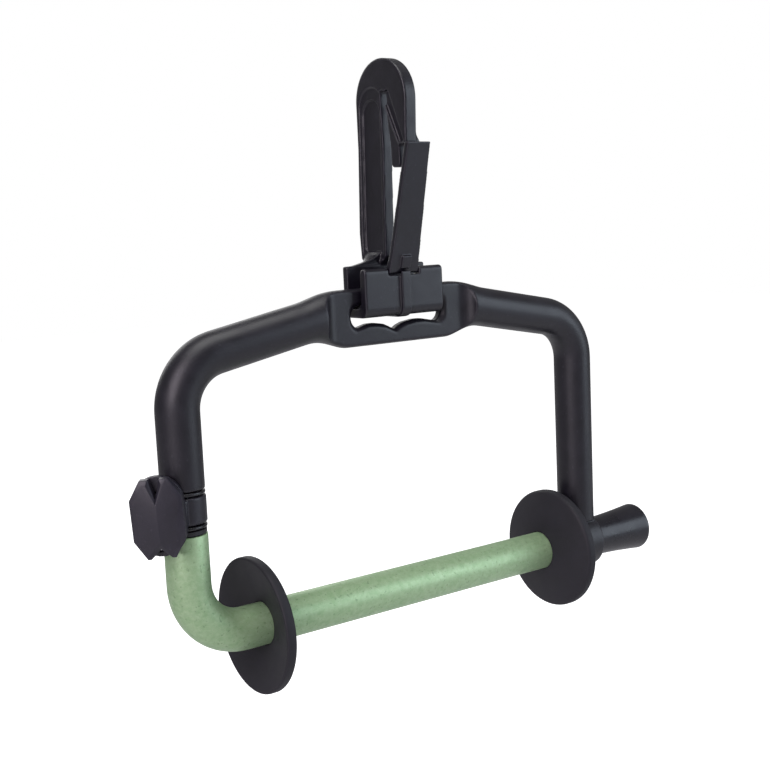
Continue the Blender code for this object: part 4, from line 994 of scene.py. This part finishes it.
def build_hook(sizes):
    half = sizes.hook_thickness / 2
    hook = round_off(solid(plate("hook", head_outline(), -half, half, "X")), 0.0004, 3, 50)
    foot = solid(plate("foot", foot_outline(), -sizes.foot_half_width, sizes.foot_half_width, "X"))
    round_off(foot, 0.00035, 3, 50)
    flare = loft("flare", flare_rings(sizes.hook_thickness, sizes.foot_half_width - GAP))
    rib = plate("rib", foot_rib_outline(), -RIB_WIDTH / 2, RIB_WIDTH / 2, "X")
    foot_mesh = foot.data.copy()
    bpy.data.objects.remove(foot, do_unlink=True)
    cuts = []
    for name, outline, deep in (("side_step", step_outline(sizes.rim), STEP_DEPTH),
                                ("shank_panel", panel_outline(sizes.rim), sizes.pocket_depth),
                                ("nose_strip", strip_outline(), sizes.pocket_depth)):
        for side in (-1, 1):
            ends = sorted((side * (half - deep), side * (half + 2 * GAP)))
            cuts.append(plate(f"{name}_{side + 1}", outline, ends[0], ends[1], "X"))
    carve(hook, cuts)
    cuts = []
    room = GATE_ROOT_WIDTH / 2 + GAP
    floor = GATE_PIVOT[1] - GATE_BARREL - GAP
    top = FRONT_LEG_TOP + GAP
    back = FOOT_SLOT_FRONT + GAP
    deep = FOOT_FRONT - GAP
    for name, low, high in (("notch_left", -room, -RIB_WIDTH / 2), ("notch_right", RIB_WIDTH / 2, room)):
        outline = [(deep, floor), (back, floor), (back, top), (deep, top)]
        cuts.append(plate(name, outline, low, high, "X"))
    outline = [(FOOT_FRONT - GAP, floor), (back, floor), (back, top), (FOOT_FRONT - 2 * RIB_DEPTH, top),
               (FOOT_FRONT - 2 * RIB_DEPTH, RIB_SPLIT), (FOOT_FRONT - GAP, RIB_SPLIT)]
    cuts.append(plate("notch_middle", outline, -RIB_WIDTH / 2 - GAP / 4, RIB_WIDTH / 2 + GAP / 4, "X"))
    nose_front = HEAD_CENTRE[0] - HEAD_RADIUS + NOSE_EDGE
    wedge = [(half - STEP_DEPTH, SHOULDER + LUG_HEIGHT), (half - STEP_DEPTH, SHOULDER),
             (half + LUG_OUT, SHOULDER), (half + LUG_OUT, SHOULDER + NOSE_EDGE)]
    lug = plate("nose_lug", wedge, nose_front + GAP, nose_front + sizes.rim, "Y")
    carve(hook, cuts, [foot_mesh, flare, rib, lug])
    moulded_skin(hook, sizes.grain * 0.85, sizes.soften)
    finish(hook, "hook_skin", "black_plastic", "hook", ["hook_body"])


def build_gate(sizes):
    """The springy gate, a tapered tongue with a rib on its root."""
    pivot_y, pivot_z = GATE_PIVOT
    root = GATE_ROOT_WIDTH / 2
    top = GATE_TOP_WIDTH / 2
    knee = root + (top - root) * GATE_SWELL
    rows = [(pivot_z, pivot_y - GATE_BARREL, pivot_y + GATE_BARREL * 0.8, root),
            (GATE_KNEE, GATE_KNEE_FRONT, GATE_KNEE_FRONT + GATE_DEPTH, knee),
            (GATE_TOP, GATE_TOP_FRONT, GATE_TOP_FRONT + GATE_DEPTH, top)]
    rings = []
    for height, front, back, side in rows:
        corners = [(-side, front), (side, front), (side, back), (-side, back)]
        rings.append([(x, y, height) for x, y in corners])
    gate = solid(loft("gate", rings))
    barrel = turned("barrel", [(0, -root), (GATE_BARREL, -root), (GATE_BARREL, root), (0, root)], "X",
                    (0, pivot_y, pivot_z), 48)
    start = RIB_SPLIT + RIB_PART
    rib_top = GATE_KNEE - RIB_DROP
    low = pivot_y - GATE_BARREL
    share = (rib_top - pivot_z) / (GATE_KNEE - pivot_z)
    high = low + (GATE_KNEE_FRONT - low) * share
    outline = [(low + RIB_DEPTH, start), (low - RIB_DEPTH, start), (high - RIB_DEPTH, rib_top),
               (high + RIB_DEPTH, rib_top)]
    rib = plate("gate_rib", outline, -RIB_WIDTH / 2, RIB_WIDTH / 2, "X")
    carve(gate, [], [barrel, rib])
    moulded_skin(gate, sizes.grain * 0.85, sizes.soften)
    finish(gate, "gate_skin", "black_plastic", "gate", ["hook_gate"])


# Line cutter

def cover_outline(inset=0.0):
    """Outline (across, up) of the cutter's cover: eight corners and two V notches."""
    wide = COVER_WIDTH / 2 - inset
    tall = COVER_HEIGHT / 2 - inset
    cut_wide = COVER_WIDTH / 2 - COVER_CORNER_WIDTH - inset * 0.55
    cut_tall = COVER_HEIGHT / 2 - COVER_CORNER_HEIGHT - inset * 0.25
    top_half, top_deep = TOP_NOTCH
    low_half, low_deep = BOTTOM_NOTCH
    points = [(-cut_wide, tall), (-top_half - inset * 0.5, tall), (0, COVER_HEIGHT / 2 - top_deep - inset),
              (top_half + inset * 0.5, tall), (cut_wide, tall), (wide, cut_tall), (wide, -cut_tall),
              (cut_wide, -tall), (low_half + inset * 0.5, -tall), (0, -COVER_HEIGHT / 2 + low_deep + inset),
              (-low_half - inset * 0.5, -tall), (-cut_wide, -tall), (-wide, -cut_tall), (-wide, cut_tall)]
    return points


def drilled(name, low, high, spot):
    """A hole for the cutter's screw, along Y."""
    profile = [(0, low), (SCREW_HOLE, low), (SCREW_HOLE, high), (0, high)]
    return turned(name, profile, "Y", (spot.x, 0, spot.z), 32)


def build_cutter(sizes, ring_tree):
    collar_middle = (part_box("upper_ring")[0].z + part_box("lower_ring")[1].z) / 2 - MIDDLE.z
    length = COLLAR_LENGTH
    bottom = collar_middle - length / 2
    joint = Matrix.Translation((LEFT_ARM, 0, bottom)) @ Matrix.Rotation(CUTTER_TURN, 4, "Z")
    tilt = Matrix.Translation((CUTTER_SHIFT, 0, length / 2 + CUTTER_RISE))
    tilt = tilt @ Matrix.Rotation(-CUTTER_LEAN, 4, "Y")

    collar = make_ring(ring_tree, "collar", BOLT_HOLE, COLLAR_RADIUS, 0, length, COLLAR_EDGE, "Z",
                       "cutter_plastic")
    collar.data.transform(Matrix.Translation((0, 0, length / 2)))
    link = plate("link", [(-PLATE_BACK - GAP, GAP), (-LINK_INSIDE, GAP), (-LINK_INSIDE, length - GAP),
                          (-PLATE_BACK - GAP, length - GAP)], CUTTER_SHIFT, LINK_RIGHT, "X")
    rise = PLATE_HALF_HEIGHT - PLATE_HALF_WIDTH
    outline = arc((0, rise), PLATE_HALF_WIDTH, 0, 180, 40) + arc((0, -rise), PLATE_HALF_WIDTH, 180, 360, 40)
    back = plate("back_plate", outline, -PLATE_FRONT, -PLATE_BACK, "Y")
    back.transform(tilt)
    top = COVER_HEIGHT / 2 - TOP_NOTCH[1] + BLADE_SHOW
    base = -COVER_HEIGHT / 2 + BOTTOM_NOTCH[1] - BLADE_SHOW
    half = BLADE_HALF_WIDTH + GAP
    deep = -PLATE_FRONT + BLADE_POCKET
    pocket = plate("blade_pocket", [(-PLATE_FRONT - GAP, base - GAP), (deep, base - GAP), (deep, top + GAP),
                                    (-PLATE_FRONT - GAP, top + GAP)], -half, half, "X")
    pocket.transform(tilt)
    spot = tilt @ Vector((SCREW_ACROSS, 0, 0))
    hole = drilled("screw_hole", -PLATE_FRONT - GAP, -PLATE_BACK + GAP, spot)
    carve(collar, [pocket, hole], [link, back])
    moulded_skin(collar, sizes.grain * 0.8, max(1, sizes.soften - 1))
    collar.data.transform(joint)
    finish(collar, "cutter_collar_skin", "cutter_plastic", "cutter", ["cutter_collar"])

    cover = build_cover(sizes)
    hole = drilled("cover_hole", -COVER_BACK - SCREW_IN_COVER, -COVER_BACK + GAP, spot)
    cover.data.transform(tilt)
    carve(cover, [hole])
    round_off(cover, COVER_EDGE, 2, 12)
    cover.data.transform(joint)
    finish(cover, "cutter_cover_skin", "cutter_plastic", "cutter", ["cutter_cover"], 35)


def build_cover(sizes):
    """The eight-sided cover: a sloped edge, and a face in three zones with a soft ridge down its middle."""
    bm = bmesh.new()
    face_y = -COVER_BACK - COVER_THICKNESS
    outer = cover_outline()
    inner = cover_outline(sizes.cover_bevel)
    back = [bm.verts.new((x, -COVER_BACK, z)) for x, z in outer]
    side = [bm.verts.new((x, face_y + sizes.cover_bevel * 0.9, z)) for x, z in outer]
    front = []
    for x, z in inner:
        out = max(0.0, abs(z) - (COVER_HEIGHT / 2 - COVER_CORNER_HEIGHT) + COVER_FALL_START)
        slope = COVER_FALL * out + COVER_ROOF * abs(x)
        front.append(bm.verts.new((x, face_y + slope, z)))
    count = len(outer)
    for here, there in ((back, side), (side, front)):
        for i in range(count):
            j = (i + 1) % count
            bm.faces.new((here[i], here[j], there[j], there[i]))
    bm.faces.new(back)
    quads = [(0, 1, 2, 13), (2, 3, 4, 5), (13, 2, 9, 12), (2, 5, 6, 9), (12, 9, 10, 11), (9, 6, 7, 8)]
    for quad in quads:
        bm.faces.new([front[i] for i in quad])
    return solid(mesh_from("cover", bm))


# Bar, discs, plug and pivot

def build_bar(sizes):
    tree = make_bent_tube_tree()
    tube_top = BAR_HIGH.z - MIDDLE.z
    end = BAR_HIGH.x
    values = {"Radius": TUBE_RADIUS, "Bend Radius": sizes.elbow_radius, "Top": (LEFT_ARM, 0.0, tube_top),
              "Corner": (LEFT_ARM, 0.0, 0.0), "End": (end, 0.0, 0.0), "Material": FINISH["green_anodising"]}
    bar = grow(tree, "bar", values)
    fix_normals(bar)
    wall = bar.modifiers.new("wall", "SOLIDIFY")
    wall.thickness = sizes.tube_wall
    wall.offset = -1.0
    wall.use_rim = True
    edges = bar.modifiers.new("edges", "BEVEL")
    edges.width = 0.00018
    edges.segments = 2
    edges.limit_method = "ANGLE"
    edges.angle_limit = radians(60)
    settle(bar)
    finish(bar, "bar_tube", "green_anodising", "bar", ["swing_bar"], sharp=40)


def build_discs(sizes, ring_tree):
    for node, body, slot in (("left_disc", "disc_left", "left_disc_rubber"),
                             ("right_disc", "disc_right", "right_disc_rubber")):
        low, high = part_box(node)
        radius = (high.z - low.z) / 2
        left = node == "left_disc"
        rim = low.x if left else high.x - DISC_THICKNESS
        bore = TUBE_RADIUS + DISC_PLAY
        dish = DISC_DISH if left else -DISC_DISH
        disc = make_ring(ring_tree, node + "_skin", bore, radius, rim, rim + DISC_THICKNESS,
                         sizes.disc_edge, "X", "disc_rubber", DISC_PLAY, dish)
        disc.data.transform(Matrix.Translation((rim + DISC_THICKNESS / 2, 0, 0)))
        finish(disc, node + "_skin", "disc_rubber", body, [node], sharp=60)


def plug_profile():
    """Profile (radius, along) of the plug: spigot with its groove, neck, flare and rounded end."""
    low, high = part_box("end_plug")
    tube_end = BAR_HIGH.x
    spigot = SPIGOT_RADIUS
    corner = PLUG_CORNER
    groove = spigot - GROOVE_DEPTH
    groove_low = tube_end - GROOVE_INSIDE
    groove_high = groove_low + GROOVE_WIDTH
    face = tube_end + GAP
    neck = RIGHT_ARM + NECK_PAST_ARM
    end = high.x
    end_radius = PLUG_END_RADIUS
    profile = [(0, low.x), (spigot - corner, low.x), (spigot, low.x + corner), (spigot, groove_low),
               (groove, groove_low), (groove, groove_high), (spigot, groove_high), (spigot, face),
               (TUBE_RADIUS - 0.0002, face), (TUBE_RADIUS, face + 0.0002), (TUBE_RADIUS, neck - GAP)]
    steps = 28
    for i in range(steps + 1):
        along = i / steps
        radius = PLUG_NECK_RADIUS + (end_radius - PLUG_NECK_RADIUS) * along ** PLUG_FLARE
        profile.append((radius, neck + (end - corner - neck) * along))
    profile += [(end_radius - corner + a, b) for a, b in
                [(corner * cos(turn), end - corner + corner * sin(turn)) for turn in
                 [pi / 2 * i / 8 for i in range(1, 9)]]]
    profile += [(end_radius * 0.45, end), (0, end)]
    return profile


def build_plug():
    plug = solid(turned("plug", plug_profile(), "X", (0, 0, 0), 128))
    finish(plug, "plug_skin", "plug_plastic", "bar", ["end_plug"], sharp=40)
    dress_node("plug_ring", "seal_rubber")


def build_pivot(sizes, ring_tree):
    for node, body, slot in (("upper_ring", "arch", "ring_rubber"),
                             ("lower_ring", "bar", "lower_ring_rubber")):
        low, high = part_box(node)
        seal = make_ring(ring_tree, node + "_skin", BOLT_HOLE, ARM_RADIUS, low.z, high.z, sizes.seal_edge,
                         "Z", "seal_rubber")
        seal.data.transform(Matrix.Translation((LEFT_ARM, 0, (low.z + high.z) / 2 - MIDDLE.z)))
        finish(seal, node + "_skin", "seal_rubber", body, [node], sharp=60)
    for node, material in (("pivot_bolt", "zinc_steel"), ("pivot_washer", "zinc_steel"),
                           ("pivot_insert", "turned_brass"), ("pivot_bush", "bush_plastic"),
                           ("cutter_screw", "zinc_steel"), ("cutter_blade", "ground_steel")):
        dress_node(node, material)


# Stage

def point_at(piece, target):
    direction = Vector(target) - piece.location
    piece.rotation_euler = direction.to_track_quat("-Z", "Y").to_euler()


def add_softbox(name, place, target, width, height, power, colour):
    light = bpy.data.lights.new(name, "AREA")
    light.shape = "RECTANGLE"
    light.size = width
    light.size_y = height
    light.energy = power
    light.color = colour
    piece = bpy.data.objects.new(name, light)
    piece.location = place
    bpy.context.collection.objects.link(piece)
    point_at(piece, target)


def stage_material(colour):
    """Pale floor that shows white to the camera."""
    material = bpy.data.materials.new("stage_paper")
    material.use_nodes = True
    tree = material.node_tree
    shader = tree.nodes["Principled BSDF"]
    shader.inputs["Base Color"].default_value = rgba(colour)
    shader.inputs["Roughness"].default_value = 0.9
    shader.inputs["Specular IOR Level"].default_value = 0.1
    path = tree.nodes.new("ShaderNodeLightPath")
    seen = maths(tree, "MULTIPLY", path.outputs["Is Camera Ray"], 0.90)
    shader.inputs["Emission Color"].default_value = (1.0, 1.0, 1.0, 1.0)
    tree.links.new(seen, shader.inputs["Emission Strength"])
    return material


def build_stage(colours):
    bm = bmesh.new()
    bmesh.ops.create_grid(bm, x_segments=2, y_segments=2, size=3.0)
    floor = solid(mesh_from("floor", bm))
    floor.data.transform(Matrix.Translation((0, 0, -0.30)))
    floor.data.materials.append(stage_material(colours.backdrop))
    target = (0.0, 0.0, -0.07)
    add_softbox("key_left", (-0.95, -0.55, 0.45), target, 0.7, 1.0, 10.5, (1.0, 0.90, 1.0))
    add_softbox("fill_right", (0.85, -0.75, 0.20), target, 0.7, 0.8, 5.0, (0.78, 0.88, 1.0))
    add_softbox("top", (0.0, -0.15, 1.10), target, 1.0, 0.8, 8.0, (1.0, 1.0, 1.0))
    add_softbox("rim_back", (0.2, 1.0, 0.35), target, 1.0, 0.7, 3.5, (1.0, 1.0, 1.0))
    world = bpy.data.worlds.new("studio")
    bpy.context.scene.world = world
    world.use_nodes = True
    tree = world.node_tree
    background = tree.nodes["Background"]
    background.inputs["Color"].default_value = (1.0, 1.0, 1.0, 1.0)
    path = tree.nodes.new("ShaderNodeLightPath")
    seen = maths(tree, "ADD", path.outputs["Is Camera Ray"], path.outputs["Is Transmission Ray"])
    glossy = maths(tree, "MULTIPLY", path.outputs["Is Glossy Ray"], 0.06)
    strength = maths(tree, "ADD", maths(tree, "ADD", glossy, 0.17), seen)
    strength = maths(tree, "MINIMUM", strength, 1.0)
    tree.links.new(strength, background.inputs["Strength"])
    scene = bpy.context.scene
    scene.view_settings.view_transform = "Standard"
    add_camera()


def add_camera():
    """Camera at the photograph's viewing angle."""
    azimuth = radians(-35.97)
    elevation = radians(7.52)
    roll = radians(-2.616)
    target = Vector((-0.00388, 0.0006, -0.07107))
    back = Vector((sin(azimuth) * cos(elevation), -cos(azimuth) * cos(elevation), sin(elevation)))
    right = Vector((0, 0, 1)).cross(back).normalized()
    up = back.cross(right)
    right, up = (right * cos(roll) + up * sin(roll)), (up * cos(roll) - right * sin(roll))
    camera = bpy.data.cameras.new("camera")
    camera.sensor_width = 36.0
    camera.lens = CAMERA_LENS
    camera.clip_start = 0.01
    piece = bpy.data.objects.new("camera", camera)
    turn = Matrix((right, up, back)).transposed().to_4x4()
    piece.matrix_world = Matrix.Translation(target + back * CAMERA_DISTANCE) @ turn
    bpy.context.collection.objects.link(piece)
    bpy.context.scene.camera = piece


# Operators

class Build:
    """Shared by the operators: the scene's sizes and colours."""
    bl_options = {"REGISTER", "UNDO"}

    def execute(self, context):
        self.build(context.scene.dispenser_sizes, context.scene.dispenser_colours)
        return {"FINISHED"}


class DISPENSER_OT_finishes(Build, bpy.types.Operator):
    """Make the materials of plastic, rubber, anodising and metal"""
    bl_idname = "dispenser.finishes"
    bl_label = "Finishes"

    def build(self, sizes, colours):
        made = Finishes(colours)
        black, wear_highlight_colour = tuple(colours.black), tuple(colours.black_wear_highlight)
        light = scaled(black, 1.5)
        cutter, rubber, seal = tuple(colours.cutter), tuple(colours.rubber), tuple(colours.seal)
        # The fourth colour goes on rubbed edges, partly wear and partly painted highlight, and on dust
        # specks.
        for name, base, pale, wear_and_highlight, roughness, grain, depth, specular in (
                ("black_plastic", black, light, wear_highlight_colour, 0.36, 2600.0, 0.00003, 0.5),
                ("frame_plastic", black, light, wear_highlight_colour, 0.40, 2200.0, 0.00004, 0.5),
                ("cutter_plastic", cutter, scaled(cutter, 1.4), wear_highlight_colour, 0.42, 2400.0, 0.00004, 0.5),
                ("plug_plastic", black, light, wear_highlight_colour, 0.30, 2000.0, 0.00004, 0.5),
                ("disc_rubber", rubber, scaled(rubber, 1.5), scaled(rubber, 3), 0.62, 3000.0, 0.00003, 0.35),
                ("seal_rubber", seal, scaled(seal, 2), wear_highlight_colour, 0.30, 2000.0, 0.00002, 0.5),
                ("bush_plastic", scaled(black, 1.2), light, wear_highlight_colour, 0.5, 2400.0, 0.00003, 0.5)):
            FINISH[name] = made.moulded(name + "_skin", base, pale, wear_and_highlight, roughness, grain, depth, specular)
        FINISH["green_anodising"] = made.anodised()
        FINISH["zinc_steel"] = made.metal("zinc_steel", tuple(colours.steel), 0.30, (1.0, 1.0, 8.0))
        FINISH["ground_steel"] = made.metal("ground_steel", tuple(colours.steel), 0.22, (12.0, 1.0, 1.0))
        FINISH["turned_brass"] = made.metal("turned_brass", tuple(colours.brass), 0.34, (1.0, 1.0, 8.0))


class DISPENSER_OT_arch(Build, bpy.types.Operator):
    """Build the arch with its slotted eye and the cradle of its right arm"""
    bl_idname = "dispenser.arch"
    bl_label = "Arch"

    def build(self, sizes, colours):
        build_arch(sizes)


class DISPENSER_OT_hook(Build, bpy.types.Operator):
    """Build the snap hook on its U-shaped foot, and its gate"""
    bl_idname = "dispenser.hook"
    bl_label = "Hook and Gate"

    def build(self, sizes, colours):
        build_hook(sizes)
        build_gate(sizes)


class DISPENSER_OT_pivot(Build, bpy.types.Operator):
    """Build the pivot's seals and the line cutter, and dress the bolt, bush and washer"""
    bl_idname = "dispenser.pivot"
    bl_label = "Pivot and Cutter"

    def build(self, sizes, colours):
        rings = make_ring_tree()
        build_cutter(sizes, rings)
        build_pivot(sizes, rings)


class DISPENSER_OT_bar(Build, bpy.types.Operator):
    """Build the green swing bar, its two rubber discs and the end plug"""
    bl_idname = "dispenser.bar"
    bl_label = "Swing Bar"

    def build(self, sizes, colours):
        build_bar(sizes)
        build_discs(sizes, make_ring_tree())
        build_plug()


class DISPENSER_OT_stage(Build, bpy.types.Operator):
    """Set up the pale floor, the soft lights and the camera"""
    bl_idname = "dispenser.stage"
    bl_label = "Stage"

    def build(self, sizes, colours):
        build_stage(colours)


OPERATORS = (DISPENSER_OT_finishes, DISPENSER_OT_arch, DISPENSER_OT_hook, DISPENSER_OT_pivot,
             DISPENSER_OT_bar, DISPENSER_OT_stage)


class DISPENSER_PT_panel(bpy.types.Panel):
    """Lists the steps and the sizes and colours that they use"""
    bl_label = "Spool Dispenser"
    bl_idname = "DISPENSER_PT_panel"
    bl_space_type = "VIEW_3D"
    bl_region_type = "UI"
    bl_category = "Dispenser"

    def draw(self, context):
        for operator in OPERATORS:
            self.layout.operator(operator.bl_idname)
        for group in (context.scene.dispenser_sizes, context.scene.dispenser_colours):
            box = self.layout.box()
            for name in group.bl_rna.properties.keys():
                if name not in {"rna_type", "name"}:
                    box.prop(group, name)


CLASSES = (DispenserSizes, DispenserColours, *OPERATORS, DISPENSER_PT_panel)


def register():
    for item in CLASSES:
        bpy.utils.register_class(item)
    bpy.types.Scene.dispenser_sizes = PointerProperty(type=DispenserSizes)
    bpy.types.Scene.dispenser_colours = PointerProperty(type=DispenserColours)


def unregister():
    del bpy.types.Scene.dispenser_colours
    del bpy.types.Scene.dispenser_sizes
    for item in reversed(CLASSES):
        bpy.utils.unregister_class(item)


def main():
    register()
    bpy.ops.dispenser.finishes()
    bpy.ops.dispenser.arch()
    bpy.ops.dispenser.hook()
    bpy.ops.dispenser.pivot()
    bpy.ops.dispenser.bar()
    bpy.ops.dispenser.stage()


if __name__ == "__main__":
    main()
